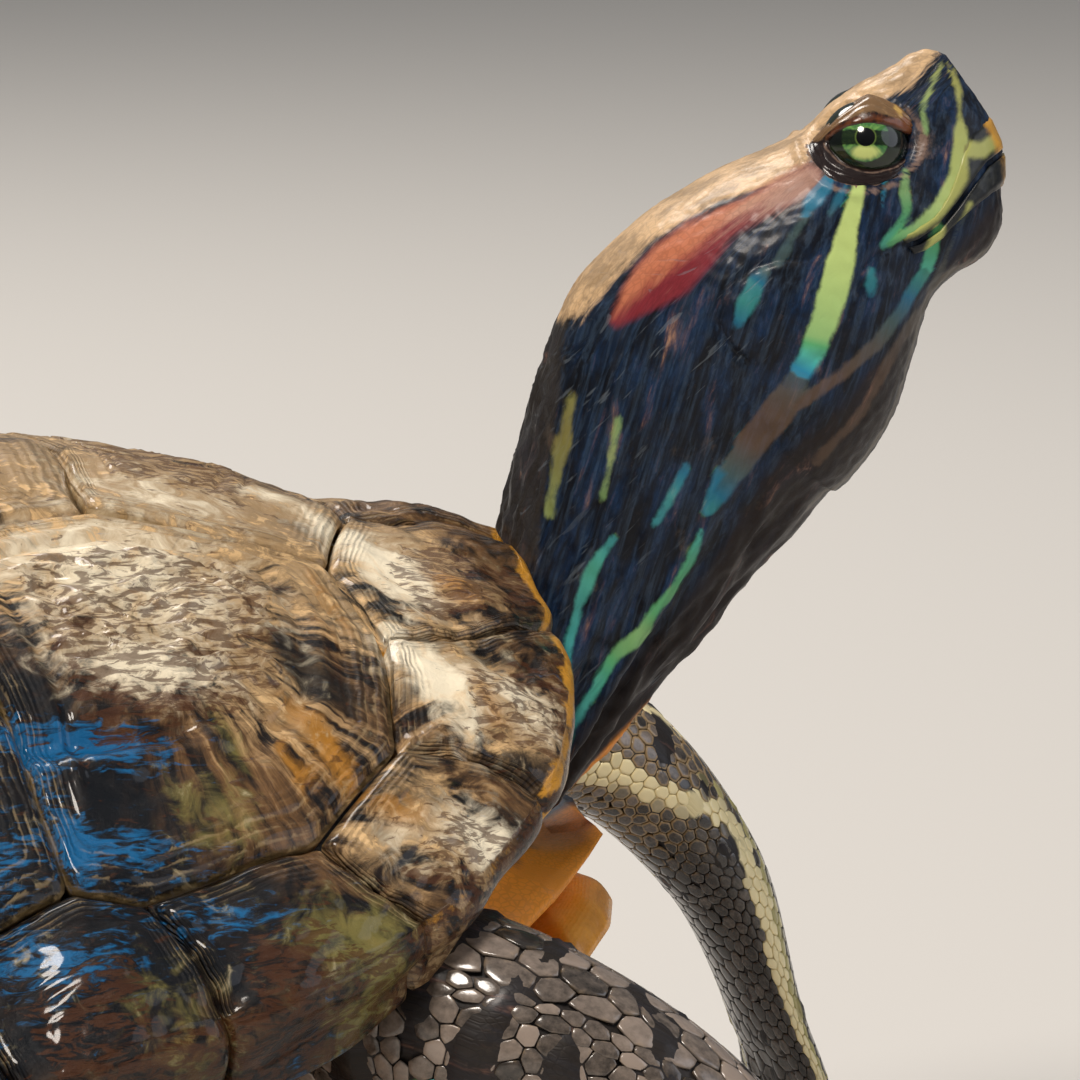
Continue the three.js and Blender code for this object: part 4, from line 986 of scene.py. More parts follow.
# Limb joints before the shell's place is added: x, y, z, half width, half thickness
LEGS = {
    "foreleg_r": [[46, -28, 51, 12, 11], [67, -57, 52.5, 10, 10.4], [85.5, -66, 40.5, 8.6, 8.4],
                  [97, -71, 20.5, 8, 5.4], [107, -75, 5.6, 10.4, 3.6], [120, -78, 1.4, 9.4, 2]],
    "foreleg_l": [[56, 30, 51, 12, 11], [86, 42, 57, 10.5, 9.6], [115.5, 45, 57, 9, 7.8],
                  [131.8, 46, 41.5, 8.2, 5.8], [140.8, 46.5, 20, 8.4, 3.1], [147.6, 47.3, 5.2, 10.4, 3],
                  [158.5, 48.5, 1.4, 9.6, 1.9]],
    "hindleg_r": [[-56, -32, 21, 13, 10.5], [-45, -60, 19, 12.5, 10.5], [-52, -80, 15, 11.2, 9.4],
                  [-67, -88.5, 8.6, 9, 6.4], [-85, -93.5, 3.8, 12.6, 3.6], [-101, -98.5, 1.5, 14.2, 1.8]],
    "hindleg_l": [[-56, 32, 21, 13, 10.5], [-43, 60, 19, 12.5, 10.5], [-48, 81, 15, 11.2, 9.4],
                  [-62, 91.5, 8.6, 9, 6.4], [-79, 99, 3.8, 12.6, 3.6], [-94, 106, 1.5, 14.2, 1.8]]}
TAIL = [[-66, 0, 19, 10, 8.5], [-84, 0, 13.5, 8.5, 7], [-100, 3, 7.5, 6, 5.4], [-115, 10, 3.4, 3.6, 3.4],
        [-128, 19, 1.3, 1.6, 1.4]]
TOES = {"foreleg_r": 5, "foreleg_l": 5, "hindleg_r": 4, "hindleg_l": 4}
TOE_SPREAD = 0.86                          # the outer toes' place, as a share of the foot's half width
TOE_REACH = 5.5                            # how far the toes reach past the web between them
FOOT_BOW = 0.3                             # how far a foot's edges are set back, as a share of its half width
LIMB_SPACING = 1.0
NOISE_RUN = 110.0                          # millimetres of noise along a limb, whatever its own length
LIMB_COLUMNS = 56


def limb_frame(joints, share):
    """Centre, sizes and axes of a limb at shares of its length: a spline through its joints."""
    joints = np.array(joints, float)
    knots = distances_along(joints[:, :3])
    at = share * knots[-1]
    middle = spline(knots, joints, at)
    ahead = np.minimum(at + 0.5, knots[-1])
    forward = unit((spline(knots, joints, ahead) - spline(knots, joints, ahead - 1))[:, :3])
    sideways = unit(np.cross(forward, [0, 0, 1]))
    return middle[:, :3] + SHELL_MIDDLE, middle[:, 3:], forward, sideways, np.cross(sideways, forward)


def toe_ridges(across, toes):
    """1 on the middle line of each toe and 0 in the web between them, across the foot from -1 to 1."""
    places = TOE_SPREAD * np.linspace(-1, 1, toes)
    return sum(bell(across, place, 0.7 / toes) for place in places)


def limb_point(joints, share, turn, proud, toes=0):
    """Points of a limb's hide at shares of its length and turns about it, moved out by proud.
    Toward the end a foot flattens into toes with webs between, whose tips reach on past it."""
    shape = np.broadcast_shapes(share.shape, turn.shape)
    share, turn = (np.broadcast_to(value, shape).ravel() for value in (share, turn))
    proud = np.broadcast_to(proud, shape).ravel()
    centre, size, forward, sideways, upward = limb_frame(joints, share)
    across, lift = np.cos(turn), np.sin(turn)
    width, thick = size.T
    reach = np.zeros_like(share)
    if toes:
        foot = smoothstep(0.78, 0.93, share)
        ridge = toe_ridges(across, toes)
        thick = thick * (1 - foot * (0.6 - 0.8 * ridge))
        width = width * (1 + 0.06 * foot)
        reach = smoothstep(0.88, 1.0, share) * TOE_REACH * (ridge - 0.6)
        reach = reach - FOOT_BOW * width * across ** 2 * smoothstep(0.8, 1.0, share)
    ahead = unit(forward * np.array([1, 1, 0.0]))
    out = unit(sideways * (across / width)[:, None] + upward * (lift / thick)[:, None])
    points = centre + sideways * (width * across)[:, None] + upward * (thick * lift)[:, None]
    points = points + ahead * reach[:, None] + out * proud[:, None]
    return points.reshape(*shape, 3)


def limb_relief(share, turn, seed):
    """Folds of loose hide: rings round the limb where it bends, and small creases."""
    around = 11 * np.cos(turn), 11 * np.sin(turn)
    spots = np.stack(np.broadcast_arrays(share * NOISE_RUN, *around), -1)
    bend = bell(share, 0.3, 0.2) + 0.5
    folds = wave_noise(spots, (5, 20, 20), seed)
    return -SCALE_DEPTH + 0.22 * bend * folds + 0.10 * wave_noise(spots, 2.6, seed + 1)


def limb_rings(joints, toes, seed):
    """The grid of a limb from its root inside the body to rings that shrink into its tip."""
    length = distances_along(np.array(joints)[:, :3])[-1]
    share = np.linspace(0, 1, int(length / LIMB_SPACING))[:, None]
    turn = (2 * np.pi * (np.arange(LIMB_COLUMNS) + 0.5) / LIMB_COLUMNS)[None]
    rings = limb_point(joints, share, turn, limb_relief(share, turn, seed), toes)
    middle = rings[-1].mean(0)
    last = rings[-1] - middle
    tips = []
    for grow, thin in ((1.0, 0.75), (0.98, 0.4), (0.93, 0.12)):
        ring = middle + last * grow
        ring[:, 2] = mix(2.0, rings[-1][:, 2], thin)
        tips.append(ring)
    return np.concatenate([rings, tips])


PLASTRON_EDGE = [[99.5, 0], [101, 12], [93.5, 23], [84, 33], [71, 40.5], [50, 48], [42, 55], [35, 66.5],
                 [16, 69], [-10, 69.5], [-32, 66.5], [-40, 52], [-61, 46], [-72, 39.5], [-82, 29.5],
                 [-88.5, 17], [-83.5, 0]]
TRUNK_COLUMNS = 168


def radius_at(line, angle):
    """Distance from the middle at which a line of plan points is met, looking along each angle."""
    line = np.array(line, float)
    travelled = distances_along(line)
    fine = np.linspace(0, travelled[-1], 800)
    x, y = (np.interp(fine, travelled, line[:, k]) for k in (0, 1))
    around = np.arctan2(y, x)
    order = np.argsort(around)
    return np.interp(angle, around[order], np.hypot(x, y)[order])


def trunk_rings():
    """The body inside the shell: a dome under the scutes, drawn in at the pockets for legs and tail,
    swollen below the neck by its loose, folded hide, and closed below by a floor on the plastron."""
    angle = np.linspace(-np.pi, np.pi, TRUNK_COLUMNS, endpoint=False)
    side, turn = np.abs(angle), np.degrees(np.abs(angle))
    seam, rim = radius_at(MARGINAL_SEAM, side), rim_radius(angle)
    edge = radius_at(PLASTRON_EDGE, side) - 6.5
    cos, sin = np.cos(angle), np.sin(angle)

    def at(radius, z):
        """A ring of that radius and height."""
        return np.stack(np.broadcast_arrays(radius * cos, radius * sin, z), -1)

    rows = [carapace_surface(seam * cos * f, seam * sin * f, np.full_like(seam, -SCUTE_DEPTH - 1.3))
            for f in (0.3, 0.6, 0.82, 0.94)]
    depth = rim_depth(angle)
    floor = plastron_height(edge * cos, edge * sin) + np.where(edge * cos > 66, GULAR_DEPTH + 0.3, 4.6)
    throat = bell(turn, 0, 14)
    # the turned neck draws the loose hide over to the left
    sag = throat * mix(0.45, 0.96, smoothstep(-3, 4, np.degrees(angle)))
    pocket = (16 * bell(turn, 40, 17) + 17 * bell(turn, 143, 18) - 12.5 * sag
              + 7 * bell(turn, 180, 12))
    skirt = mix(seam, rim, 0.42) - 2
    wall = np.minimum(skirt - 1, edge) - pocket
    seam_top = carapace_height(seam * cos, seam * sin)
    under_rim = rim_height(angle) - depth
    rows += [at(seam - 3.5, mix(seam_top, rim_height(angle), 0.1) - 5),
             at(np.minimum(skirt, wall + 12) - 7 * throat, under_rim + 0.5 + 3.5 * bell(turn, 90, 34)),
             at(wall, np.maximum(mix(under_rim, floor, 0.5 + 0.35 * throat), floor + 2.5)),
             at(np.minimum(edge - 2, wall + 3) + 9.5 * throat, floor + 0.8 + 1.9 * throat),
             at(edge * 0.5, PLASTRON_DEPTH + 0.8)]
    at_rows = np.concatenate([[0, 1, 2, 3, 4], np.linspace(4.4, 7, 16), [7.5, 8]])
    rings = spline(np.arange(len(rows)), np.array(rows), at_rows)
    loose = bell(np.linspace(0, 1, len(rings)), 0.62, 0.25)[:, None] * (1 - 0.6 * throat)
    folds = wave_noise(rings, (9, 9, 3.2), 30) * 0.45 * loose
    return on_floor(rings + grid_normals(rings) * folds[..., None])


def joined(parts):
    """All the closed lofts as one mesh: each is added to the first by a boolean union."""
    made = []
    for i, rings in enumerate(parts):
        points, face_sets = closed_loft(rings)
        points[:, 2] = np.maximum(points[:, 2], 0.01 * i)
        made.append(bpy.data.objects.new(f"part {i}", solid_mesh(f"part {i}", points, face_sets)))
        bpy.context.scene.collection.objects.link(made[-1])
    whole = made[0]
    for other in made[1:]:
        union = whole.modifiers.new("union", "BOOLEAN")
        union.operation, union.solver, union.object = "UNION", "EXACT", other
    evaluated = whole.evaluated_get(bpy.context.evaluated_depsgraph_get())
    result = bpy.data.meshes.new_from_object(evaluated)
    for part in made:
        bpy.data.objects.remove(part)
    return result


parts = [trunk_rings(), head_and_neck()]
parts += [limb_rings(joints, TOES[name], 60 + 3 * i) for i, (name, joints) in enumerate(LEGS.items())]
parts.append(limb_rings(TAIL, 0, 75))
hide_mesh = joined(parts)
hide_points = np.empty(len(hide_mesh.vertices) * 3, np.float32)
hide_mesh.vertices.foreach_get("co", hide_points)
hide_points = hide_points.reshape(-1, 3).astype(float) / MM

# Stripes of head and neck: strength, then u, w, half width in mm and hue at each point. Hues run from the
# olive yellow of the snout (0.1) by lime (0.2), green (0.4), teal (0.55) and blue (0.7) to grey teal
# (0.85) and brown cream (1).
STRIPES = [
    (1.0, [[24.4, -1.3, 0.55, 0.2], [22.8, -2.8, 0.8, 0.2], [20.6, -4.6, 1.15, 0.2], [17.5, -7.2, 1.5, 0.22],
           [14.2, -9.7, 1.4, 0.26], [12, -11.1, 1.15, 0.3], [10.7, -12.1, 1.2, 0.48],
           [8.5, -13.1, 1.2, 0.72]]),
    (0.5, [[8.5, -13.1, 1.1, 0.85], [6.6, -13.9, 1.4, 0.95], [4, -15, 1.7, 1], [0, -16.2, 1.6, 1],
           [-3.5, -17.7, 1.2, 0.85], [-7.2, -18.9, 0.9, 0.62]]),
    (0.85, [[38.5, 1.7, 0.22, 0.12], [37.8, -0.6, 0.3, 0.13], [36.2, -2.9, 0.5, 0.14],
            [34.5, -5.3, 0.9, 0.16], [32.6, -7.3, 1.1, 0.18], [29.6, -8.6, 0.9, 0.22],
            [27, -8.9, 0.6, 0.28], [23.3, -8.1, 0.3, 0.4]]),
    (0.6, [[34.5, -5.4, 0.8, 0.12], [36.2, -6.9, 0.8, 0.1], [38, -7.2, 0.7, 0.08]]),
    (0.6, [[37.8, 2.4, 0.16, 0.15], [35.4, 1.3, 0.26, 0.2], [33.6, 0.1, 0.3, 0.25], [32.7, -1.6, 0.22, 0.3]]),
    (0.65, [[28.7, -3.4, 0.25, 0.3], [27.4, -5, 0.34, 0.32], [26.6, -6.6, 0.3, 0.38], [25, -7.4, 0.3, 0.42],
            [22.6, -7.9, 0.25, 0.5]]),
    (0.9, [[28, -10.4, 0.55, 0.38], [26.3, -11.6, 0.75, 0.42], [24.6, -12.9, 0.65, 0.5]]),
    (0.5, [[24.6, -12.9, 0.6, 0.5], [22.6, -13.9, 0.7, 0.62], [20.1, -14.7, 0.7, 0.8], [16, -15.7, 0.6, 0.95],
           [10.9, -15.9, 0.65, 1], [3.2, -15.2, 0.5, 1]]),
    (0.4, [[32, -10.4, 0.2, 0.9], [29.6, -11.6, 0.25, 0.9], [26.5, -13.6, 0.35, 0.92], [22.3, -16, 0.5, 0.95],
           [18.6, -17.2, 0.6, 0.97], [14.7, -18.8, 0.65, 1], [10.6, -20.6, 0.6, 1], [4, -22, 0.5, 1]]),
    (0.45, [[20.2, -9.2, 0.4, 0.62], [19.5, -10.1, 0.55, 0.62], [18.7, -11.1, 0.4, 0.66]]),
    (0.5, [[11.6, -2.5, 0.4, 0.85], [10, -3, 0.8, 0.62], [8.2, -3.9, 0.95, 0.58], [6.2, -5.2, 0.7, 0.7]]),
    (0.65, [[22.9, 1.1, 0.4, 0.7], [21.4, 0.6, 0.85, 0.7], [19.6, 0, 0.8, 0.7], [18, -0.6, 0.5, 0.72]]),
    (0.5, [[23.2, -0.7, 0.2, 0.7], [21.6, -1.4, 0.4, 0.72], [20.2, -2, 0.2, 0.8]]),
    (0.4, [[18, -0.8, 0.4, 0.85], [16.8, -1.2, 0.4, 0.85], [15, -1.9, 0.5, 0.85], [13.2, -2.5, 0.4, 0.86]]),
    (0.8, [[26.5, -2.9, 0.1, 0.7], [25.6, -3.8, 0.16, 0.7], [24.7, -4.9, 0.1, 0.7]]),
    (0.5, [[-13.2, -1.4, 0.3, 0.12], [-15.6, -3.6, 0.5, 0.1], [-18.5, -6, 0.5, 0.12],
           [-22.4, -9.5, 0.4, 0.2]]),
    (0.5, [[-10.2, -5.4, 0.25, 0.3], [-13, -7.8, 0.5, 0.18], [-16.5, -10.8, 0.4, 0.3]]),
    (0.6, [[-7.2, -13.9, 0.4, 0.72], [-10.2, -15.4, 0.6, 0.58], [-13.4, -16.5, 0.45, 0.62]]),
    (0.75, [[-18.2, -14.9, 0.3, 0.6], [-21.9, -16.1, 0.55, 0.5], [-25, -17.8, 0.55, 0.55],
            [-28.2, -20.4, 0.6, 0.58], [-31.6, -23.4, 0.5, 0.66]]),
    (0.8, [[-9.6, -20.4, 0.25, 0.55], [-12.3, -22.3, 0.5, 0.45], [-16, -23.5, 0.65, 0.38],
           [-18.8, -24, 0.5, 0.4], [-21.2, -25.1, 0.75, 0.32], [-24.8, -25.1, 0.6, 0.36],
           [-28, -26.2, 0.6, 0.5], [-33.5, -28.2, 0.5, 0.6], [-42, -34, 0.5, 0.6]]),
    (0.6, [[-4.4, -16.6, 0.45, 0.72], [-6.2, -17.9, 0.7, 0.68], [-8, -19, 0.45, 0.66]]),
]
# The red patch behind the eye, in the same four numbers; here the last is how pale it has grown
RED_PATCH = [[-4.6, 2.4, 0.7, 0.1], [-0.8, 2.9, 1.9, 0.1], [3.4, 3.1, 2.5, 0.0], [7.2, 3.4, 2.2, 0.05],
             [10.7, 3.5, 1.5, 0.3], [13.6, 3.0, 1.25, 0.6], [16.6, 2.5, 1.2, 0.85], [20.6, 2.0, 1.1, 1.0]]
# Stripes of the limbs: turn about the limb in degrees, half width, hue, and from which share to which
LIMB_STRIPES = {
    "foreleg_l": [(0, 1.6, 0.0, 0.1, 0.64), (22, 0.8, 0.08, 0.6, 1.0), (72, 0.9, 0.0, 0.3, 0.66),
                  (58, 0.7, 0.12, 0.62, 1.0), (170, 0.9, 0.05, 0.2, 1.0), (220, 0.7, 0.1, 0.3, 1.0)],
    "foreleg_r": [(-28, 0.7, 0.6, 0.3, 0.8), (12, 0.7, 0.16, 0.6, 1.0), (150, 1.3, 0.04, 0.2, 0.95),
                  (200, 0.8, 0.08, 0.3, 1.0), (80, 0.7, 0.1, 0.72, 1.0)],
    "hindleg_r": [(60, 0.5, 0.1, 0.3, 1.0), (10, 0.45, 0.12, 0.3, 1.0), (110, 0.5, 0.08, 0.3, 1.0),
                  (-40, 0.4, 0.15, 0.3, 1.0)],
    "hindleg_l": [(120, 0.5, 0.1, 0.3, 1.0), (170, 0.45, 0.12, 0.3, 1.0), (70, 0.5, 0.08, 0.3, 1.0),
                  (220, 0.4, 0.15, 0.3, 1.0)],
    "tail": [(35, 0.4, 0.1, 0.2, 1.0), (145, 0.4, 0.1, 0.2, 1.0), (-15, 0.3, 0.1, 0.2, 1.0),
             (195, 0.3, 0.1, 0.2, 1.0)]}
FORELIMB_TWIST = ([0.0, 0.44, 0.51, 0.55, 0.59, 0.65, 0.75, 1.0], [-18, -15, -8, 14, 38, 18, 0, 0])
LIMB_VIVID = 0.75
LIMB_GRASP = 1.45           # hide further out than this, as a share of a limb's size, is the body's
LIMBS = {**LEGS, "tail": TAIL}
EDGE_SPREAD = 1.2           # millimetres over which a mask falls from 1 inside a mark's edge to 0 outside


def inside_mark(distance, half_width):
    """A mask of 0.5 on a mark's edge that rises inside it and falls outside it, millimetre by millimetre."""
    return np.clip(0.5 + (half_width - distance) / EDGE_SPREAD, 0, 1)


def path_field(spots, path):
    """A path's mask and the value in its last column, at spots given as (u, w)."""
    path = np.array(path, float)
    distance, share = near_path(spots, path[:, :2], 4.5)
    at = share * (len(path) - 1)
    stations = np.arange(len(path))
    return inside_mark(distance, np.interp(at, stations, path[:, 2])), np.interp(at, stations, path[:, 3])


def head_marks(u, w, side):
    """Masks of the hide's colours on head and neck, from head coordinates."""
    spots = np.stack([u, w], -1)
    stripe, hue, vivid = np.zeros_like(u), np.zeros_like(u), np.zeros_like(u)
    for strength, path in STRIPES:
        mask, value = path_field(spots, path)
        hue, vivid = np.where(mask > stripe, [value, np.full_like(u, strength)], [hue, vivid])
        stripe = np.maximum(stripe, mask)
    # under the chin and throat two pale stripes run back from the tip of the jaw
    under = smoothstep(-2, -6, w - np.interp(u, [-10, 10, 30, 38], [-19, -15, -8, -4]))
    for lane, half_width in ((0.0, 0.5), (5.2, 0.7)):
        spread = lane * smoothstep(36, 24, u)
        mask = inside_mark(np.abs(side - spread), half_width) * under * smoothstep(-12, 4, u)
        hue, vivid = np.where(mask > stripe, 0.95, hue), np.where(mask > stripe, 0.5, vivid)
        stripe = np.maximum(stripe, mask)
    red, pale = path_field(spots, RED_PATCH)
    # the crown is tan, painted lighter as painted light on the lit top of the head
    crown_line = np.interp(u, [-12, -8, -3, 4, 8, 12, 17, 21, 24, 30, 34, 38],
                           [4.5, 4, 5.4, 6.2, 6.0, 5.1, 3.7, 3.2, 4.4, 4.0, 2.6, 3.4])
    crown = np.clip(0.5 + (w - crown_line) / 1.6, 0, 1) * smoothstep(-16, -6, u)
    # light enters the patch's upper half from the pale skin above it
    centre = np.interp(u, [-5, -1, 3.4, 7.2, 10.7, 16], [2.4, 2.9, 3.1, 3.4, 3.5, 2.6])
    glow = smoothstep(-1.2, 1.6, w - centre)
    throat_line = np.interp(u, [-45, -37.4, -31.7, -23.6, -17.5, -10.8, -4.1, 1.7, 10, 20, 28, 34],
                            [-34, -31.3, -29.2, -27.3, -26.3, -24.4, -21.3, -19.3, -18.4, -16.6, -13.6, -12])
    throat = np.clip(0.5 - (w - throat_line) / 3, 0, 1)
    crease = bell(u, 0, 13) * bell(w, -3, 9) + 0.5 * smoothstep(-6, -20, u)
    pink = bell(u, 19.8, 3.4) * bell(w, 2.0, 1.6) + 0.5 * bell(u, 31.6, 1.6) * bell(w, -2.6, 1.6)
    # a thin pink painted highlight round the lower rim of the socket
    below = smoothstep(2.5, 0.5, w) * smoothstep(1.5, 4, side)
    pink = pink + 1.1 * bell(orbit_radius(u, w), 1.13, 0.045) * below
    return {"stripe": stripe, "hue": hue, "vivid": vivid, "red": red, "pale": pale, "glow": glow,
            "crown": crown, "throat": throat, "crease": np.clip(crease, 0, 1), "pink": pink,
            "nape": nape_share(u, w)}


def limb_marks(name, share, turn, radius):
    """The stripe mask and hue of a limb, and where its hide is pale beneath."""
    stripe, hue = np.zeros_like(share), np.zeros_like(share)
    for lane, half_width, lane_hue, start, end in LIMB_STRIPES[name]:
        sway = np.radians(lane + 4 * np.sin(share * 9 + lane))
        if name == "foreleg_l":
            sway = sway + np.radians(np.interp(share, *FORELIMB_TWIST))
        away = np.abs((turn - sway + np.pi) % (2 * np.pi) - np.pi) * radius
        mask = inside_mark(away, half_width) * smoothstep(start - 0.1, start, share)
        hue = np.where(mask > stripe, lane_hue, hue)
        stripe = np.maximum(stripe, mask)
    return stripe, hue


def on_limb(points, joints):
    """Where points lie on a limb: nearest share of its length, turn about it, radius, and how far out
    of its surface they are, as a share of its size."""
    share = np.linspace(0, 1, 90)
    centre, size, forward, sideways, upward = limb_frame(joints, share)
    offset = points[:, None] - centre
    nearest = (offset ** 2).sum(-1).argmin(1)
    rows = np.arange(len(points))
    offset = offset[rows, nearest]
    across = (offset * sideways[nearest]).sum(-1)
    lift = (offset * upward[nearest]).sum(-1)
    ahead = (offset * forward[nearest]).sum(-1)
    size = size[nearest]
    reach = np.hypot(across / size[:, 0], lift / size[:, 1])
    return share[nearest], np.arctan2(lift / size[:, 1], across / size[:, 0]), size.mean(-1), reach, ahead


HIDE_MASKS = ("stripe", "hue", "vivid", "red", "pale", "glow", "crown", "throat", "crease", "pink", "nape",
              "limb", "belly")


def hide_marks(points):
    """Every mask of the hide at points of the frame, and flow: coordinates in millimetres whose first
    axis runs along the neck, the head or the limb."""
    found = {key: np.zeros(len(points)) for key in HIDE_MASKS}
    flow = points.copy()
    local = points - SHELL_MIDDLE
    neck = (local[:, 0] > 52) & (np.abs(local[:, 1]) < 34) & (local[:, 2] > 40)
    along, height, side = to_profile(points[neck])
    u, w = profile_to_head(along, height)
    inside = (np.abs(side) < 19) & (w > -42 + np.minimum(0, u) * 0.2)
    chosen = np.flatnonzero(neck)[inside]
    along, height, u, w, side = (value[inside] for value in (along, height, u, w, side))
    for key, value in head_marks(u, w, np.abs(side)).items():
        found[key][chosen] = value
    # below the neck's root hangs the trunk's orange hide, which carries none of the neck's marks
    underside = np.interp(along, *np.array(NECK_SECTIONS)[:, 2:4].T)
    underside = underside + 5 * (1 - np.sqrt(np.maximum(1 - (side / 12) ** 2, 0)))
    bag = smoothstep(0.2, -1.8, height - underside) * smoothstep(-18, -24, u)
    for key in HIDE_MASKS:
        found[key][chosen] *= 1 - bag
    found["belly"][chosen] = bag
    turn = np.radians(36) * smoothstep(3.5, 0, w)
    down = w + 8
    flow[chosen] = np.stack([u * np.cos(turn) + down * np.sin(turn), down * np.cos(turn) - u * np.sin(turn),
                             side], -1)
    rest = np.ones(len(points), bool)
    rest[chosen] = False
    best = np.full(len(points), LIMB_GRASP)
    for i, (name, joints) in enumerate(LIMBS.items()):
        share, angle, radius, reach, ahead = on_limb(points, joints)
        mine = rest & (reach < best) & (np.abs(ahead) < 8)
        best[mine] = reach[mine]
        stripe, hue = limb_marks(name, share, angle, radius)
        found["stripe"][mine], found["hue"][mine] = stripe[mine], hue[mine]
        found["limb"][mine], found["vivid"][mine] = 1, LIMB_VIVID
        # each limb has its own part of the flow coordinates
        run = share * NOISE_RUN + 200 * (i + 1)
        flow[mine] = np.stack([run, radius * np.cos(angle), radius * np.sin(angle)], -1)[mine]
    body = rest & (best >= LIMB_GRASP)
    # the hide is orange round the plastron, and most of all in front
    level = local[body, 2] - 0.26 * local[body, 0]
    found["belly"][body] = smoothstep(46, 30, level - 12 * smoothstep(30, 60, local[body, 0]))
    # painted shade: the orange is taken off the far upper side of the bag below the neck, leaving it dark
    painted_far_shade = smoothstep(-2, 3, local[:, 1]) * smoothstep(51, 55, local[:, 2]) * smoothstep(76, 84, local[:, 0])
    found["belly"] *= 1 - painted_far_shade
    return found, flow


# Wet skin: blue-black with a painted blue sheen, yellow-green stripes that turn teal, a red patch, a tan crown
# partly lit with painted light, and creases with painted pale highlights; on the limbs grey-brown. Its scales
# share the same marks.
HUES = [(0.0, "#f8e8b4"), (0.1, "#a39a52"), (0.2, "#b9cc7c"), (0.4, "#5cae74"), (0.55, "#4fb3a6"),
        (0.7, "#2b88ab"), (0.85, "#5d7876"), (1.0, "#79604c")]
hide_skin, hide_shader = new_material("Wet skin")
skin_mask = {name: node(hide_skin, "Attribute", output="Fac", attribute_name=name) for name in HIDE_MASKS}
flow_mm = node(hide_skin, "Attribute", output="Vector", attribute_name="flow")


def stripe_colour(material, hue):
    """The stripes' colour at each hue, blended between the hexes of the list."""
    colour = node(material, "ValToRGB", {"Fac": hue})
    ramp = colour.node.color_ramp
    for place, hex_colour in HUES[1:-1]:
        ramp.elements.new(place).color = linear(hex_colour)
    ramp.elements[0].color, ramp.elements[-1].color = linear(HUES[0][1]), linear(HUES[-1][1])
    return colour


def stretched(along, across):
    """The flow coordinates scaled along and across the hide's run."""
    return node(hide_skin, "VectorMath", (flow_mm, (along, across, across)), operation="MULTIPLY")


# cells of about 0.8 mm: the small flat scales of the hide
cells = node(hide_skin, "TexVoronoi", {"Vector": stretched(1.0, 1.5), "Scale": 1.0}, "Distance",
             feature="DISTANCE_TO_EDGE")
# hairline creases that fan across the neck, each a few millimetres long, their pale colour a painted highlight
turned = node(hide_skin, "VectorRotate", {"Vector": flow_mm, "Angle": 0.5}, rotation_type="Z_AXIS")
hairline_place = node(hide_skin, "VectorMath", (turned, (0.13, 1.5, 0.3)), operation="MULTIPLY")
# streaks and mottling of the hide, its grain, the creases, and the streaks of painted sheen on the cheek
streak, mottle, skin_grain, hairline, painted_cheek_sheen = (
    node(hide_skin, "TexNoise", {"Vector": place, "Scale": 1.0, "Detail": detail, "Roughness": rough,
                                 "Distortion": bend})
    for place, detail, rough, bend in (
        (stretched(0.1, 0.5), 5, 0.62, 0.4), (stretched(0.2, 0.25), 5, 0.6, 0.0),
        (stretched(1.3, 1.6), 5, 0.65, 0.0), (hairline_place, 3, 0.55, 0.5),
        (stretched(0.07, 1.5), 4, 0.6, 0.3)))
net_mask = node(hide_skin, "MapRange", {"Value": hairline, "From Min": 0.6, "From Max": 0.68})
cell_edge = node(hide_skin, "MapRange", {"Value": cells, "From Min": 0.03, "From Max": 0.16, "To Min": 1.0,
                                         "To Max": 0.0})
crease_mask, skin_glow, skin_pale, dark_crown = (
    node(hide_skin, "Math", pair, operation="MULTIPLY")
    for pair in ((net_mask, skin_mask["crease"]), (skin_mask["glow"], skin_mask["red"]),
                 (skin_mask["pale"], skin_mask["red"]), (skin_mask["crown"], 0.5)))
hide_colour = layered(hide_skin, linear("#0c111b"), [
    # blue streaks: the hide's dark blue, and partly a painted blue sheen
    (0.42, streak, 2.2, 0.38, "#1a3a60", 0.80),
    # painted sheen: pale blue-grey streaks on the cheek
    (0.5, mottle, 2.2, 0.30, "#06080e", 0.75),
    (0.36, painted_cheek_sheen, 2.6, 0.32, "#4a6079", 0.26),
    (skin_mask["limb"], mottle, 1.0, 0.40, "#2d2722", 0.85),
    (skin_mask["throat"], streak, 2.2, 0.35, "#21160f", 0.85),
    (skin_mask["belly"], mottle, 0.9, 0.35, "#f2982c", 0.95),
    (skin_mask["nape"], skin_grain, 1.2, 0.30, "#332e29", 0.80),
    # tan crown, partly the hide's own tan and partly painted light on the lit top of the head
    (skin_mask["crown"], streak, 1.8, 0.25, "#dab78c", 0.92),
    (dark_crown, mottle, 2.4, 0.25, "#56452f", 0.50),
    # pink: a pale pink patch behind the eye, and a painted highlight round the socket's lower rim
    (skin_mask["pink"], skin_grain, 1.2, 0.40, "#8f7566", 0.70),
    (skin_mask["red"], streak, 1.1, 0.42, "#822b33", 0.92),
    (skin_glow, streak, 1.4, 0.40, "#c97e5a", 0.80),
    (skin_pale, streak, 1.4, 0.42, "#b89a88", 0.70),
    (cell_edge, skin_grain, 0.6, 0.35, "#0b0d12", 0.15)])
# the stripes' edges fray a little in the grain and wander with the mottling
spread, drift = (node(hide_skin, "Math", (noise, 0.5), operation="SUBTRACT")
                 for noise in (skin_grain, mottle))
frayed = node(hide_skin, "Math", (spread, 0.25, skin_mask["stripe"]), operation="MULTIPLY_ADD")
torn = node(hide_skin, "Math", (drift, 1.4, frayed), operation="MULTIPLY_ADD")
stripe_edge = node(hide_skin, "MapRange", {"Value": torn, "From Min": 0.26, "From Max": 0.74},
                   interpolation_type="SMOOTHSTEP")
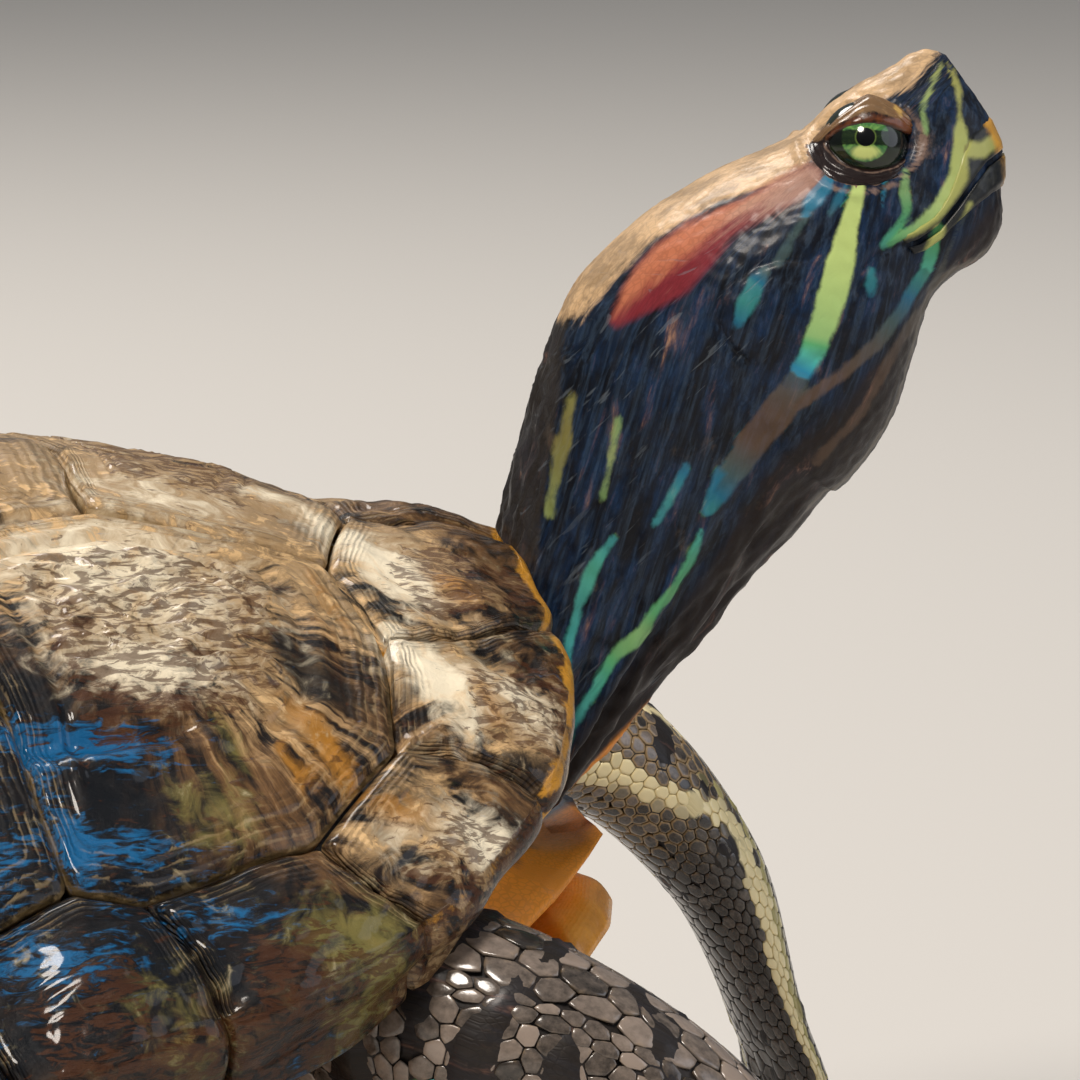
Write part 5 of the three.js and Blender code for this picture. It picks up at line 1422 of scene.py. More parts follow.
# the colour thins out in places, more so in the faint stripes
worn = node(hide_skin, "MapRange", {"Value": mottle, "From Min": 0.36, "From Max": 0.56, "To Min": 0.5},
            interpolation_type="SMOOTHSTEP")
full = node(hide_skin, "Math", (skin_mask["vivid"], 0.6, worn), operation="MULTIPLY_ADD")
kept = node(hide_skin, "Math", (full, 1.0), operation="MINIMUM")
shown = node(hide_skin, "Math", (kept, skin_mask["vivid"]), operation="MULTIPLY")
stripe_factor = node(hide_skin, "Math", (stripe_edge, shown), operation="MULTIPLY")
striped = node(hide_skin, "Mix", {0: stripe_factor, 6: hide_colour,
                                  7: stripe_colour(hide_skin, skin_mask["hue"])}, 2, data_type="RGBA")
# painted highlight: pale blue-grey along the creases
hide_colour = layered(hide_skin, striped, [(crease_mask, mottle, 1.6, 0.30, "#77828c", 0.30)])
wetness = node(hide_skin, "MapRange", {"Value": skin_grain, "From Min": 0.3, "From Max": 0.7,
                                       "To Min": 0.4, "To Max": 0.56})
# the cells show on limbs and nape, and hardly on the smooth hide of the head
scaly = node(hide_skin, "Math", (skin_mask["limb"], skin_mask["nape"]), operation="ADD")
cell_depth = node(hide_skin, "Math", (scaly, -0.5, -0.12), operation="MULTIPLY_ADD")
cell_height = node(hide_skin, "Math", (cell_edge, cell_depth, skin_grain), operation="MULTIPLY_ADD")
crease_height = node(hide_skin, "Math", (crease_mask, -0.8, cell_height), operation="MULTIPLY_ADD")
# cells and creases stand about 0.08 mm
hide_bump = node(hide_skin, "Bump", {"Height": crease_height, "Strength": 0.45, "Distance": 0.08 * MM})
fill(hide_skin, hide_shader, {"Base Color": hide_colour, "Roughness": wetness, "Specular IOR Level": 0.14,
                              "Coat Weight": 0.16, "Coat Roughness": 0.2, "Normal": hide_bump})

hide_values, hide_flow = hide_marks(hide_points)
put_in_place("skin", hide_mesh, hide_skin, ("trunk", "head", "neck", "tail", *LEGS),
             {**hide_values, "flow": hide_flow})

# ---- Eyes and eyelids --------------------------------------------------------------------------------
# Two wet eyeballs, each with a green iris crossed by a level dark bar through a round pupil. The upper
# lid is thick and folded and the lower thin and dark; they close round the ball and grow from the hide.

EYE_CENTRE = np.array([26.9, 0.8, 5.5])    # head coordinates: u, w and side
EYE_RADIUS = 4.5
OPTIC_AXIS = np.array([0.15, 0.24, 0.96])
BAR_TILT = np.radians(-38)                 # from the head's own axis, so that the bar lies level
LID_OPENING = {"u": 27.5, "w": 0.65, "long": 4.4, "short": 2.27, "tilt": np.radians(-40)}
LID_THICKNESS = 0.6
LID_OVER_CROWN = -0.2                      # how far the lids stand above the crown of the head
EYE_ROWS, EYE_COLUMNS = 56, 72
LID_ROWS, LID_COLUMNS = 34, 160

# A wet eyeball: green iris with paler flecks, dark bar and pupil, under a clear coat.
eye_wet, eye_shader = new_material("Wet eye")
iris_at = node(eye_wet, "Attribute", output="Vector", attribute_name="iris")
across_bar = node(eye_wet, "SeparateXYZ", (iris_at,), "Y")
iris_flat = node(eye_wet, "VectorMath", (iris_at, (1, 1, 0)), operation="MULTIPLY")
from_pupil = node(eye_wet, "VectorMath", (iris_flat,), "Value", operation="LENGTH")
spin = node(eye_wet, "VectorMath", (iris_flat,), operation="NORMALIZE")
fibres, flecks = (
    node(eye_wet, "TexNoise", {"Vector": place, "Scale": scale, "Detail": detail, "Roughness": 0.65})
    for place, scale, detail in ((spin, 5.0, 4), (iris_at, 1.7, 5)))


def eye_band(value, start, end):
    """A mask that goes from 0 at start to 1 at end."""
    return node(eye_wet, "MapRange", {"Value": value, "From Min": start, "From Max": end})


level = node(eye_wet, "Math", (across_bar,), operation="ABSOLUTE")
beyond_iris = eye_band(from_pupil, 2.2, 2.5)
bar_mask = eye_band(level, 0.95, 0.55)
flattened = node(eye_wet, "VectorMath", (iris_flat, (0.5, 1, 0)), operation="MULTIPLY")
crescent = eye_band(node(eye_wet, "VectorMath", (flattened, (0, -1.45, 0)), "Value", operation="DISTANCE"),
                    0.95, 0.35)
pupil_ring = eye_band(from_pupil, 1.15, 0.95)
pupil_mask = eye_band(from_pupil, 0.95, 0.85)
iris_colour = layered(eye_wet, linear("#3d7139"), [
    (0.5, fibres, 2.4, 0.30, "#7cab58", 0.70),
    (0.5, flecks, 2.6, 0.25, "#23563a", 0.55),
    (crescent, fibres, 0.6, 0.40, "#c8d27a", 0.90),
    (beyond_iris, flecks, 0.6, 0.30, "#0b0e09", 0.95),
    (bar_mask, flecks, 0.9, 0.30, "#090d0a", 0.92),
    (pupil_ring, fibres, 0.3, 0.30, "#7f9a45", 0.35),
    (pupil_mask, flecks, 0.05, 0.20, "#020203", 1.0)])
fill(eye_wet, eye_shader, {"Base Color": iris_colour, "Roughness": 0.12, "Specular IOR Level": 0.3,
                           "Coat Weight": 0.5, "Coat Roughness": 0.02})

# Moist lid skin: tan and folded above, orange brown at its rim, nearly black and wet below, with a painted
# pinkish highlight along the lower lid's edges.
lid_skin, lid_shader = new_material("Moist eyelid")
lid_brow, lid_rim, lid_mark, lid_edge_highlight = (node(lid_skin, "Attribute", output="Fac", attribute_name=name)
                                         for name in ("brow", "rim", "mark", "edge"))
lid_grain = node(lid_skin, "TexNoise", {"Vector": millimetres(lid_skin), "Scale": 1.6, "Detail": 5,
                                        "Roughness": 0.65})
lid_colour = layered(lid_skin, linear("#1d1210"), [
    (lid_brow, lid_grain, 0.8, 0.30, "#a58258", 0.90),
    (lid_brow, lid_grain, 3.0, 0.30, "#4d3829", 0.60),
    (lid_rim, lid_grain, 0.9, 0.35, "#7d4420", 0.75),
    (lid_mark, lid_grain, 0.5, 0.25, "#c4a05a", 0.85),
    (lid_edge_highlight, lid_grain, 0.9, 0.30, "#a08472", 0.65)])
lid_bump = node(lid_skin, "Bump", {"Height": lid_grain, "Strength": 0.5, "Distance": 0.06 * MM})
fill(lid_skin, lid_shader, {"Base Color": lid_colour, "Roughness": 0.2, "Normal": lid_bump})


def head_side(u, w):
    """Half the head's width at u and w: the squared oval of the section there."""
    knots, *columns = np.array(HEAD_SECTIONS).T
    top, bottom, half, widest, square = (np.interp(u, knots, column) for column in columns)
    level = mix(top, bottom, widest)
    lift = np.where(w > level, (w - level) / (top - level), (level - w) / (level - bottom))
    return half * np.maximum(1 - np.clip(lift, 0, 1) ** square, 0) ** (1 / square)


def closed_ring(rings):
    """Points and faces of rings whose last joins the first again, like a tyre."""
    rows, columns = rings.shape[:2]
    return rings.reshape(-1, 3), [grid_faces(rows + 1, columns, True) % (rows * columns)]


def eyeball(side):
    """Rings about the optic axis from the front pole to the back, the cornea bulging a little; and
    each point's place on the iris in millimetres, turned so that the bar is level."""
    angle = np.pi * np.linspace(0.004, 0.996, EYE_ROWS)[:, None] ** 1.25
    turn = np.linspace(0, 2 * np.pi, EYE_COLUMNS, endpoint=False)[None]
    reach = EYE_RADIUS + 0.28 * bell(angle, 0, 0.55)
    axis = unit(OPTIC_AXIS)
    right = np.array([np.cos(BAR_TILT), np.sin(BAR_TILT), 0])
    right = unit(right - axis * (right @ axis))
    up = np.cross(axis, right)
    flat_x, flat_y = np.sin(angle) * np.cos(turn), np.sin(angle) * np.sin(turn)
    local = axis * np.cos(angle)[..., None] * np.ones_like(turn)[..., None]
    local = local + right * flat_x[..., None] + up * flat_y[..., None]
    u, w, out = np.moveaxis(EYE_CENTRE + reach[..., None] * local, -1, 0)
    iris = np.stack(np.broadcast_arrays(flat_x * EYE_RADIUS, flat_y * EYE_RADIUS, np.cos(angle)), -1)
    return from_head(u, w, side * out), iris


def lids(side):
    """Both lids as one ring: from its edge on the ball outward to the rim of the socket, then back
    along its inner face. Returns the rings and the masks of its colours."""
    turn = np.linspace(0, 2 * np.pi, LID_COLUMNS, endpoint=False)[None]
    share = np.concatenate([np.linspace(0, 1, LID_ROWS), np.linspace(1, 0, LID_ROWS // 2)])[:, None]
    outer_face = (np.arange(len(share)) < LID_ROWS)[:, None]

    def ellipse(shape, grow, lens):
        """u and w on an ellipse, its ends drawn out to corners by lens."""
        x = shape["long"] * grow * np.cos(turn)
        y = shape["short"] * grow * np.sin(turn) * np.abs(np.sin(turn)) ** lens
        cos, sin = np.cos(shape["tilt"]), np.sin(shape["tilt"])
        return shape["u"] + x * cos - y * sin, shape["w"] + x * sin + y * cos

    edge_u, edge_w = ellipse(LID_OPENING, 1, 0.3)
    away = (edge_u - EYE_CENTRE[0]) ** 2 + (edge_w - EYE_CENTRE[1]) ** 2
    # past the ball's own outline, in the front corner, the edge lies level with its middle
    edge_out = EYE_CENTRE[2] + np.sqrt(np.maximum((EYE_RADIUS + 0.05) ** 2 - away, 0))
    rim_u, rim_w = ellipse(ORBIT, 1.05, 0)
    top = np.interp(rim_u, *np.array(HEAD_SECTIONS).T[:2]) - 0.5
    rim_w = np.minimum(rim_w, top)
    rim_out = head_side(rim_u, rim_w) - 0.35
    inner = np.stack([edge_u, edge_w, edge_out], -1)
    outer = np.stack([rim_u, rim_w, rim_out], -1)
    line = mix(inner, outer, share[..., None]) - EYE_CENTRE
    upper = smoothstep(-0.1, 0.5, np.sin(turn))
    reach = mix(*(np.linalg.norm(end - EYE_CENTRE, axis=-1) for end in (inner, outer)), share)
    lip = (0.28 + 0.1 * upper) * (1 - np.exp(-share / 0.07)) * (1 - share) ** 0.4
    swell = (0.08 + 0.08 * upper) * np.sin(np.pi * share)
    folds = sum(bell(share + 0.03 * np.sin(3 * turn), at, 0.035) for at in (0.32, 0.52, 0.72))
    folds = folds * (0.13 * upper + 0.06)
    spots = np.stack(np.broadcast_arrays(share * 3, 5 * np.cos(turn), 5 * np.sin(turn)), -1)
    rough = 0.05 * wave_noise(spots, (1.0, 2.2, 2.2), 91)
    proud = np.where(outer_face, lip + swell - folds + rough, -LID_THICKNESS * np.sin(np.pi * share) - 0.1)
    local = unit(line) * (reach + proud)[..., None]
    u, w, out = np.moveaxis(EYE_CENTRE + local, -1, 0)
    over = w - np.interp(u, *np.array(HEAD_SECTIONS).T[:2]) - LID_OVER_CROWN
    w = w - 0.5 * (over + np.hypot(over, 0.8))
    front = smoothstep(0.2, 0.8, np.cos(turn))
    masks = {"brow": upper * smoothstep(0.12, 0.3, share) * (1 - 0.2 * front),
             "rim": upper * (0.55 * bell(share, 0.1, 0.1) + 0.75 * front * bell(share, 0.3, 0.25)),
             "mark": bell(turn, 1.0, 0.11) * bell(share, 0.55, 0.25),
             # painted highlight: a pinkish line along the lower lid's rim and opening
             "edge": (1 - upper) * (bell(share, 0.88, 0.09) + 0.5 * bell(share, 0.08, 0.05))}
    masks = {key: (np.broadcast_to(value, u.shape) * outer_face).ravel() for key, value in masks.items()}
    return from_head(u, w, side * out), masks


for tag, side in SIDES:
    rings, iris = eyeball(side)
    add_piece(f"eyeball_{tag}", *closed_loft(rings), eye_wet, "eye", [f"eye_{tag}"],
              {"iris": with_hubs(iris)})
    rings, masks = lids(side)
    add_piece(f"eyelids_{tag}", *closed_ring(rings), lid_skin, "skin", (), masks)

# ---- Beak --------------------------------------------------------------------------------------------
# Sliders have no teeth: a sheath of horn covers the edge of each jaw, yellow at its tip, thin and
# smooth, with the stripes of the face running down onto it. A small cusp hangs at the tip above.

BEAK_THICKNESS = 0.22
BEAK_START, BEAK_END = 24.5, 38.0          # along the head, from the corners of the mouth to its tip
BEAK_ROWS, BEAK_COLUMNS = 22, 150
JAW_TIP = np.array([[-16.7, 30.4], [-14.7, 33.9], [-11.4, 36.0], [-8.8, 37.8], [-4.5, 38.7], [0, 38.9]])

# Thin horn over the jaws: olive yellow and dark in streaks, polished, warm at the tip.
beak_horn, beak_shader = new_material("Horn of the beak")
beak_stripe, beak_tip = (node(beak_horn, "Attribute", output="Fac", attribute_name=name)
                         for name in ("stripe", "tip"))
beak_flow = node(beak_horn, "Attribute", output="Vector", attribute_name="flow")
beak_streak = node(beak_horn, "TexNoise", {"Vector": beak_flow, "Scale": 0.9, "Detail": 5,
                                           "Roughness": 0.62})
beak_colour = layered(beak_horn, linear("#15181c"), [
    (0.5, beak_streak, 2.2, 0.30, "#34352f", 0.7),
    (beak_stripe, beak_streak, 0.5, 0.30, "#b4b768", 0.80),
    (beak_tip, beak_streak, 0.8, 0.30, "#d29a3c", 0.92)])
beak_bump = node(beak_horn, "Bump", {"Height": beak_streak, "Strength": 0.35, "Distance": 0.1 * MM})
fill(beak_horn, beak_shader, {"Base Color": beak_colour, "Roughness": 0.3, "Specular IOR Level": 0.3,
                              "Normal": beak_bump})


def beak_sheath(name, above_mouth, height_front, height_back, seed):
    """A band of horn along one jaw from corner to corner round its tip: rows from so far above the
    mouth line outward, lying a little proud of the hide, closed by an inner face."""
    run = np.linspace(-1, 1, BEAK_COLUMNS)[None]
    share = np.concatenate([np.linspace(0, 1, BEAK_ROWS), np.linspace(1, 0, 6)])[:, None]
    outside = (np.arange(len(share)) < BEAK_ROWS)[:, None]
    ahead = np.sin(np.pi / 2 * (1 - np.abs(run)))
    height = share * mix(height_back, height_front, smoothstep(0.35, 0.95, ahead))
    w = mouth_level(mix(BEAK_START, BEAK_END, ahead)) + above_mouth + height
    tip_u = np.interp(w, *JAW_TIP.T)
    u = mix(BEAK_START, tip_u, ahead)
    across = head_side(u, w) * np.sign(run)
    edge = 1 - bell(share, 0, 0.1) * 0.6 - bell(share, 1, 0.12) * 1.3
    ends = smoothstep(0, 0.06, 1 - np.abs(run))
    proud = np.where(outside, BEAK_THICKNESS * edge * ends - 0.15 * (1 - ends), -0.5)
    sideways = np.sign(run) * np.minimum(np.abs(across) / 4, 1)
    forward = np.sqrt(np.maximum(1 - sideways ** 2, 0))
    spot = np.stack([u, w, np.abs(across)], -1)
    masks = head_marks(u.ravel(), w.ravel(), np.abs(across).ravel())
    tip = bell(u, tip_u, 0.9) * smoothstep(-0.5, -3.5, w) * (1.0 if height_front > 0 else 0.5)
    rings = from_head(u + proud * forward, w, across + proud * sideways)
    values = {"stripe": masks["stripe"], "tip": tip.ravel(),
              "flow": (spot * np.array([0.5, 1, 1]) + seed).reshape(-1, 3)}
    add_piece(name, *closed_grid(rings), beak_horn, "skin", (), values)


def closed_grid(rings):
    """A band closed round in its rows, with a face of its own at each end of its columns."""
    rows, columns = rings.shape[:2]
    row = np.arange(rows)[None]
    column = np.arange(columns - 1)[:, None]
    beside = (row + 1) % rows

    def at(r, c):
        """The flat index of a row and column of the grid."""
        return r * columns + c

    corners = [at(row, column), at(beside, column), at(beside, column + 1), at(row, column + 1)]
    sides = np.stack(np.broadcast_arrays(*corners), -1).reshape(-1, 4)
    ends = np.stack([np.arange(rows)[::-1] * columns, np.arange(rows) * columns + columns - 1])
    return rings.reshape(-1, 3), [sides, ends]


def mouth_level(u):
    """The mouth line's height in the head's frame, drawn down to a small cusp at the tip."""
    return np.interp(u, [22, 25.8, 28.4, 31.2, 34.2, 35.9, 38.4], [-8.5, -9.9, -10.1, -9.5, -8.6, -8.3, -8.7])


beak_sheath("upper_beak", 0.15, 3.6, 1.0, 3)
beak_sheath("lower_beak", -0.5, -2.4, -0.8, 7)

# ---- Claws -------------------------------------------------------------------------------------------
# Long curved claws of dark horn, five on each forefoot and four on each hind foot, each growing from
# the end of a toe and resting its tip on the ground.

CLAW_ROWS, CLAW_COLUMNS = 22, 18
CLAW_RADIUS = 1.35
CLAWS = {"foreleg_r": 10.0, "foreleg_l": 10.0, "hindleg_r": 8.0, "hindleg_l": 8.0}

# Claw horn: brown black at the root, paler and clearer toward the tip.
claw_horn, claw_shader = new_material("Horn of the claws")
claw_share = node(claw_horn, "Attribute", output="Fac", attribute_name="along")
claw_grain = node(claw_horn, "TexNoise", {"Vector": millimetres(claw_horn), "Scale": 0.8, "Detail": 4,
                                          "Roughness": 0.6})
claw_colour = layered(claw_horn, linear("#2a211b"), [(claw_share, claw_grain, 0.5, 0.45, "#6b5844", 0.75)])
claw_bump = node(claw_horn, "Bump", {"Height": claw_grain, "Strength": 0.4, "Distance": 0.08 * MM})
fill(claw_horn, claw_shader, {"Base Color": claw_colour, "Roughness": 0.25, "Normal": claw_bump})


def claws_of(name, length):
    """All the claws of a foot: tapering tubes that arch up from the toes and come down to a point."""
    joints, toes = LEGS[name], TOES[name]
    centre, size, forward, _, _ = limb_frame(joints, np.array([0.97]))
    heading = unit(forward[0] * np.array([1, 1, 0]))
    across = np.cross(heading, [0, 0, 1])
    fan = np.linspace(-1, 1, toes)
    swing = -0.35 * fan
    direction = heading * np.cos(swing)[:, None] + np.cross([0, 0, 1], heading) * np.sin(swing)[:, None]
    root = centre[0] * np.array([1, 1, 0]) + across * (fan * size[0, 0] * TOE_SPREAD)[:, None]
    root = root + heading * (-1.2 - 2 * fan ** 2)[:, None]
    s = np.linspace(0, 1, CLAW_ROWS)
    height = 2 + 0.16 * length * np.sin(np.pi * np.minimum(1.1 * s, 1)) - s * 1.4
    line = root[:, None] + direction[:, None] * (length * s)[:, None]
    line[..., 2] = height
    radius = CLAW_RADIUS * np.maximum(1 - s, 0) ** 0.62 + 0.09
    turn = np.linspace(0, 2 * np.pi, CLAW_COLUMNS, endpoint=False)
    beside = np.cross(direction, [0, 0, 1])[:, None, None]
    slope = np.gradient(height, length * s)
    upward = unit(np.array([0, 0, 1.0]) - direction[:, None] * slope[None, :, None])[:, :, None]
    ring = 0.82 * beside * np.cos(turn)[:, None] + upward * np.sin(turn)[:, None]
    rings = line[:, :, None] + ring * radius[:, None, None]
    rings[..., 2] = np.maximum(rings[..., 2], 0.02)
    points = np.concatenate([with_hubs(claw) for claw in rings])
    along = with_hubs(np.broadcast_to(s[:, None], (CLAW_ROWS, CLAW_COLUMNS)))
    add_piece(f"claws_{name}", points, loft_faces(CLAW_ROWS, CLAW_COLUMNS, toes), claw_horn, "skin", (),
              {"along": np.tile(along, toes)})


for name, length in CLAWS.items():
    claws_of(name, length)

# ---- Scales of limbs and tail --------------------------------------------------------------------------
# Flat horny scales set edge to edge in the hide: broad and many-sided down the front of the forearm,
# small and rounded elsewhere. They lie along the limb and grow smaller toward the toes.

SCALE_COLUMNS = 12
# Rings of a scale from its middle to its edge and under it: share of its radius, share of its height
SCALE_RINGS = np.array([[0.55, 1.0], [0.86, 0.95], [0.955, 0.7], [0.995, 0.1], [0.96, -0.9]])
SCALE_GAP = 0.015
BAKE_MARGIN, BAKE_PATCH = 0.02, 0.003      # of the bake map's width: its margin, and each scale's patch
# Bands: turn about the limb from and to in degrees, share from and to, scale length and width in mm,
# and how high it stands
SCALE_BANDS = {
    "foreleg_r": [(43, 123, 0.27, 0.9, 3.7, 2.5, 0.26), (27, 43, 0.27, 0.9, 2.2, 0.95, 0.26),
                  (123, 387, 0.27, 0.9, 2.1, 1.7, 0.16), (0, 360, 0.08, 0.27, 2.0, 1.9, 0.16)],
    "foreleg_l": [(56, 124, 0.1, 0.9, 2.1, 1.6, 0.24), (-44, 56, 0.14, 0.9, 1.9, 1.5, 0.22),
                  (124, 316, 0.14, 0.9, 2.3, 1.9, 0.2)],
    "hindleg_r": [(0, 360, 0.3, 0.9, 2.7, 2.3, 0.25)],
    "hindleg_l": [(0, 360, 0.3, 0.9, 2.7, 2.3, 0.25)],
    "tail": [(0, 360, 0.2, 0.97, 2.0, 1.7, 0.2)]}

# Horny scales: grey brown, glossy, paler at the rim, with the stripes of the hide crossing them.
scale_horn, scale_shader = new_material("Wet scales")
scale_mask = {name: node(scale_horn, "Attribute", output="Fac", attribute_name=name)
              for name in ("stripe", "hue", "tone", "rim", "fringe")}
scale_flow = node(scale_horn, "Attribute", output="Vector", attribute_name="flow")
scale_grain = node(scale_horn, "TexNoise", {"Vector": scale_flow, "Scale": 1.1, "Detail": 5,
                                            "Roughness": 0.62})
scale_base = layered(scale_horn, linear("#2b2621"), [
    (scale_mask["tone"], scale_grain, 0.9, 0.50, "#a09083", 0.85),
    (scale_mask["rim"], scale_grain, 0.9, 0.30, "#15120f", 0.6),
    (scale_mask["fringe"], scale_grain, 0.9, 0.30, "#9a8058", 0.8)])
scale_stripe = node(scale_horn, "MapRange", {"Value": scale_mask["stripe"], "From Min": 0.4,
                                             "From Max": 0.62, "To Max": 0.88})
scale_colour = node(scale_horn, "Mix", {0: scale_stripe, 6: scale_base,
                                        7: stripe_colour(scale_horn, scale_mask["hue"])}, 2,
                    data_type="RGBA")
scale_bump = node(scale_horn, "Bump", {"Height": scale_grain, "Strength": 0.45, "Distance": 0.1 * MM})
fill(scale_horn, scale_shader, {"Base Color": scale_colour, "Roughness": 0.22, "Coat Weight": 0.4,
                                "Coat Roughness": 0.08, "Normal": scale_bump})


def scale_field(name, seed):
    """Every scale of a limb as one mesh. Cells of a brick lattice, their six corners nudged by a noise
    that neighbours share, are laid on the limb's surface and raised into low domes."""
    joints, toes = LIMBS[name], TOES.get(name, 0)
    length = distances_along(np.array(joints)[:, :3])[-1]
    parts = []
    for band, (turn_from, turn_to, from_share, to_share, long, wide, high) in enumerate(SCALE_BANDS[name]):
        mean = np.array(joints)[:, 3:].mean()
        rows = max(2, round(np.radians(turn_to - turn_from) * mean / wide))
        columns = round((to_share - from_share) * length / long)
        row, column = (grid.ravel().astype(float) for grid in
                       np.meshgrid(np.arange(rows), np.arange(columns), indexing="ij"))
        middle = np.stack([column + 0.5 * (row % 2), row], -1)
        hexagon = np.array([[0.5, -1 / 3], [0.5, 1 / 3], [0, 2 / 3], [-0.5, 1 / 3], [-0.5, -1 / 3],
                            [0, -2 / 3]])
        corners = middle[:, None] + hexagon
        lattice = np.concatenate([corners, np.full((*corners.shape[:2], 1), float(band))], -1)
        nudge = np.stack([wave_noise(lattice, 1.9, seed + band + k) for k in (0, 5)], -1)
        corners = corners + 0.1 * nudge
        middle = corners.mean(1)
        # the outline through the corners, then pulled in a little where it turns
        at = np.arange(SCALE_COLUMNS) * 6 / SCALE_COLUMNS
        start = at.astype(int)
        outline = mix(corners[:, start], corners[:, (start + 1) % 6], (at - start)[None, :, None])
        outline = mix(outline, (np.roll(outline, 1, 1) + np.roll(outline, -1, 1)) / 2, 0.18)
        grow = (1 - SCALE_GAP) * SCALE_RINGS[:, 0][None, :, None, None]
        rings = middle[:, None, None] + grow * (outline - middle[:, None])[:, None]
        grid = np.concatenate([rings.reshape(len(middle), -1, 2), middle[:, None], middle[:, None]], 1)
        share = mix(from_share, to_share, (grid[..., 0] + 0.25) / (columns + 0.5))
        turn = np.radians(mix(turn_from, turn_to, (grid[..., 1] + 0.5) / rows))
        rise = np.concatenate([np.repeat(SCALE_RINGS[:, 1], SCALE_COLUMNS), [1.0, -0.9]])
        shrink = 1 - 0.45 * smoothstep(0.7, 0.95, share)
        proud = -SCALE_DEPTH + high * rise * shrink
        parts.append((share, turn, proud))
    share, turn, proud = (np.concatenate(of_bands) for of_bands in zip(*parts))
    points = limb_point(joints, share, turn, proud, toes)
    count, each = share.shape
    centre_share, centre_turn = share[:, -2], turn[:, -2]
    radius = np.interp(centre_share, np.linspace(0, 1, len(joints)), np.array(joints)[:, 3:].mean(-1))
    stripe, hue = limb_marks(name, centre_share, centre_turn, radius)
    random = np.random.default_rng(seed)
    tone = np.clip(random.normal(0.5, 0.22, count), 0, 1)
    if name == "foreleg_l":
        tone = tone * mix(1, 0.25, smoothstep(0.4, 0.6, centre_share))
    rim = np.concatenate([np.repeat(SCALE_RINGS[:, 0], SCALE_COLUMNS), [0, 0]])
    spread = np.array([length, 9.0, 9.0])
    flow = np.stack([share, np.cos(turn), np.sin(turn)], -1) * spread
    flow = flow + 30 * random.random((count, 1, 3))
    # on the far upper arm the scales are edged with tan
    edged = 0.9 * smoothstep(0.66, 0.5, share) if name == "foreleg_l" else 0.25 + 0 * share
    values = {"stripe": np.repeat(stripe, each), "hue": np.repeat(hue, each), "tone": np.repeat(tone, each),
              "rim": np.tile(smoothstep(0.92, 1.0, rim), count), "flow": flow.reshape(-1, 3),
              "fringe": (edged * smoothstep(0.5, 0.85, rim)).ravel()}
    piece = add_piece(f"scales_{name}", points.reshape(-1, 3),
                      loft_faces(len(SCALE_RINGS), SCALE_COLUMNS, count), scale_horn, "skin", (), values)
    # each scale's patch of the bake map lies where it grows on the limb unrolled
    unrolled = np.stack([centre_share, centre_turn / (2 * np.pi) % 1], -1)
    root = BAKE_MARGIN + (1 - 2 * BAKE_MARGIN) * unrolled
    angle = np.tile(2 * np.pi * np.arange(SCALE_COLUMNS) / SCALE_COLUMNS, len(SCALE_RINGS))
    disc = np.repeat(SCALE_RINGS[:, 0], SCALE_COLUMNS)[:, None] * np.stack([np.cos(angle), np.sin(angle)], -1)
    disc = np.concatenate([disc, np.zeros((2, 2))]) * BAKE_PATCH / 2
    spots = (root[:, None] + disc).reshape(-1, 2)
    corner = np.empty(len(piece.data.loops), np.int32)
    piece.data.loops.foreach_get("vertex_index", corner)
    piece.data.uv_layers.new(name="OFBake").data.foreach_set("uv", spots[corner].astype(np.float32).ravel())


for i, name in enumerate(LIMBS):
    scale_field(name, 200 + 10 * i)


# ---- Floor, light and camera ---------------------------------------------------------------------
# A plain pale floor that runs out of sight, one large soft lamp high on the left and a weaker one on
# the right, as over a museum table, and the camera low on the turtle's right side.

paper, paper_shader = new_material("Matt pale paper")
fill(paper, paper_shader, {"Base Color": linear("#d0cdc8"), "Roughness": 0.9})
FLOOR_HALF = 6.0
floor_mesh = bpy.data.meshes.new("floor")
floor_mesh.from_pydata([(x * FLOOR_HALF, y * FLOOR_HALF, 0) for x, y in ((-1, -1), (1, -1), (1, 1), (-1, 1))],
                       [], [(0, 1, 2, 3)])
floor_mesh.materials.append(paper)
floor = bpy.data.objects.new("floor", floor_mesh)
bpy.context.scene.collection.objects.link(floor)

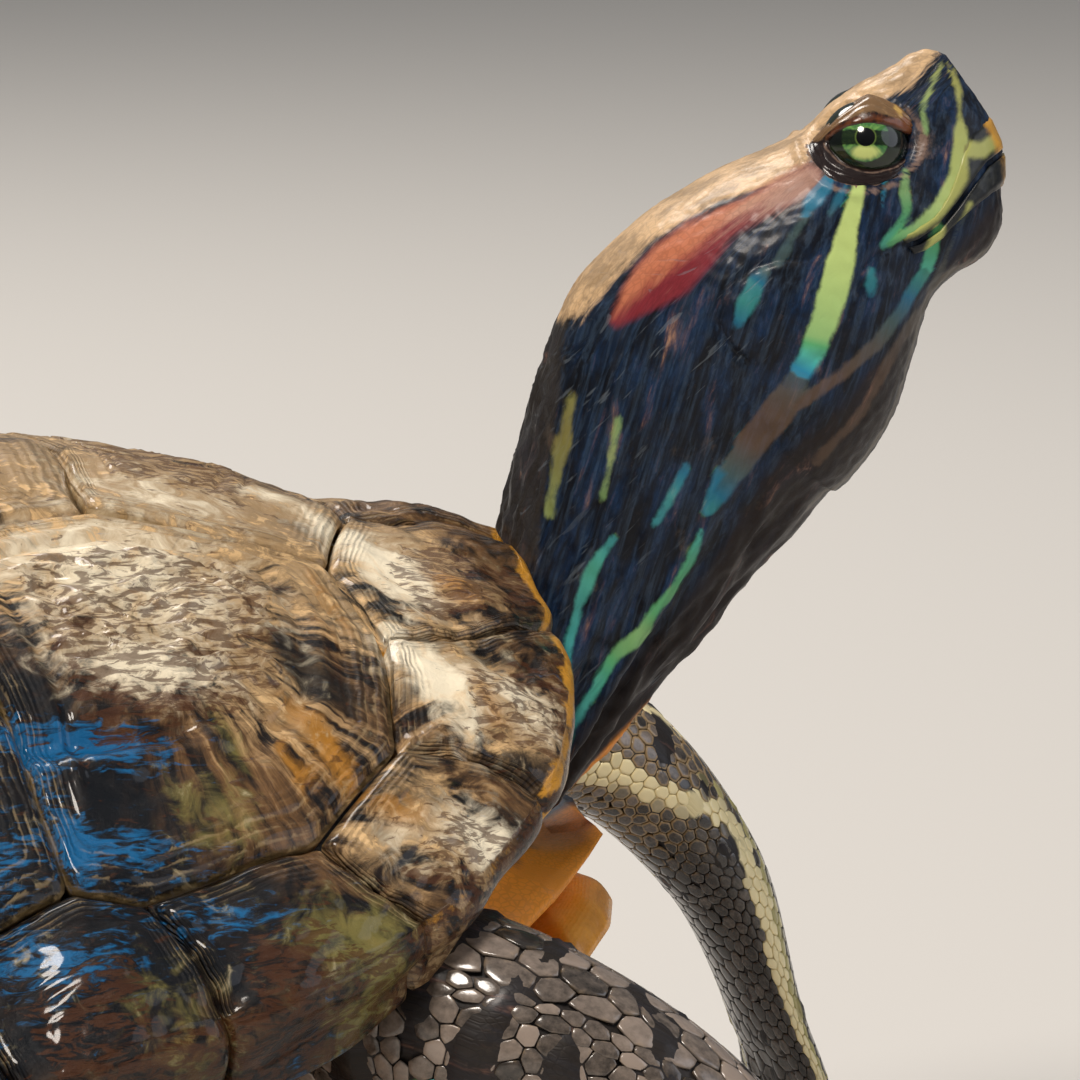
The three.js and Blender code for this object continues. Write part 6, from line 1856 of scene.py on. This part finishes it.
LAMPS = [  # name, place in metres, diameter, watts, hex colour
    ("key lamp", (-0.45, -0.55, 1.05), 0.38, 12.9, "#fff5ea"),
    ("fill lamp", (0.95, -0.6, 0.45), 0.9, 2.9, "#eef3ff"),
    ("back lamp", (0.0, 0.8, 0.9), 0.55, 7.8, "#fff8f0"),
]
LAMP_TARGET = Vector((0.05, -0.02, 0.07))
for name, lamp_place, size, watts, hex_colour in LAMPS:
    data = bpy.data.lights.new(name, "AREA")
    data.shape, data.size, data.energy, data.color = "DISK", size, watts, linear(hex_colour)[:3]
    lamp = bpy.data.objects.new(name, data)
    lamp.location = lamp_place
    lamp.rotation_euler = (LAMP_TARGET - lamp.location).to_track_quat("-Z", "Y").to_euler()
    bpy.context.scene.collection.objects.link(lamp)

# the room is brighter overhead than at the walls, and behind the turtle stands an even backdrop
world = bpy.data.worlds.new("studio")
world.use_nodes = True
room = world.node_tree.nodes["Background"]
view_height = node(world, "SeparateXYZ", (node(world, "TexCoord", output="Generated"),), "Z")
overhead = node(world, "MapRange", {"Value": view_height, "From Min": -0.1, "To Min": 0.10, "To Max": 0.30})
fill(world, room, {"Color": linear("#eef1f6"), "Strength": overhead})
backdrop = node(world, "Background", {"Color": linear("#e9e7e3")})
seen = node(world, "LightPath", output="Is Camera Ray")
fill(world, world.node_tree.nodes["World Output"],
     {"Surface": node(world, "MixShader", (seen, room.outputs[0], backdrop))})
bpy.context.scene.world = world

CAMERA_AIM = Vector((64.2, -30.0, 94.2)) * MM
CAMERA_AZIMUTH, CAMERA_ELEVATION, CAMERA_ROLL = np.radians([-21.59, 10.50, 0.57])
CAMERA_DISTANCE = 663.8 * MM
CAMERA_LENS, CAMERA_SENSOR = 222.1, 36.0
camera_data = bpy.data.cameras.new("camera")
camera_data.lens, camera_data.sensor_width = CAMERA_LENS, CAMERA_SENSOR
camera_data.clip_start, camera_data.clip_end = 0.05, 50.0
camera = bpy.data.objects.new("camera", camera_data)
toward = Vector((np.sin(CAMERA_AZIMUTH) * np.cos(CAMERA_ELEVATION),
                 -np.cos(CAMERA_AZIMUTH) * np.cos(CAMERA_ELEVATION), np.sin(CAMERA_ELEVATION)))
turn = toward.to_track_quat("Z", "Y").to_matrix().to_4x4() @ Matrix.Rotation(CAMERA_ROLL, 4, "Z")
camera.matrix_world = Matrix.Translation(CAMERA_AIM + toward * CAMERA_DISTANCE) @ turn
bpy.context.scene.collection.objects.link(camera)
bpy.context.scene.camera = camera
bpy.context.scene.view_settings.view_transform = "Standard"
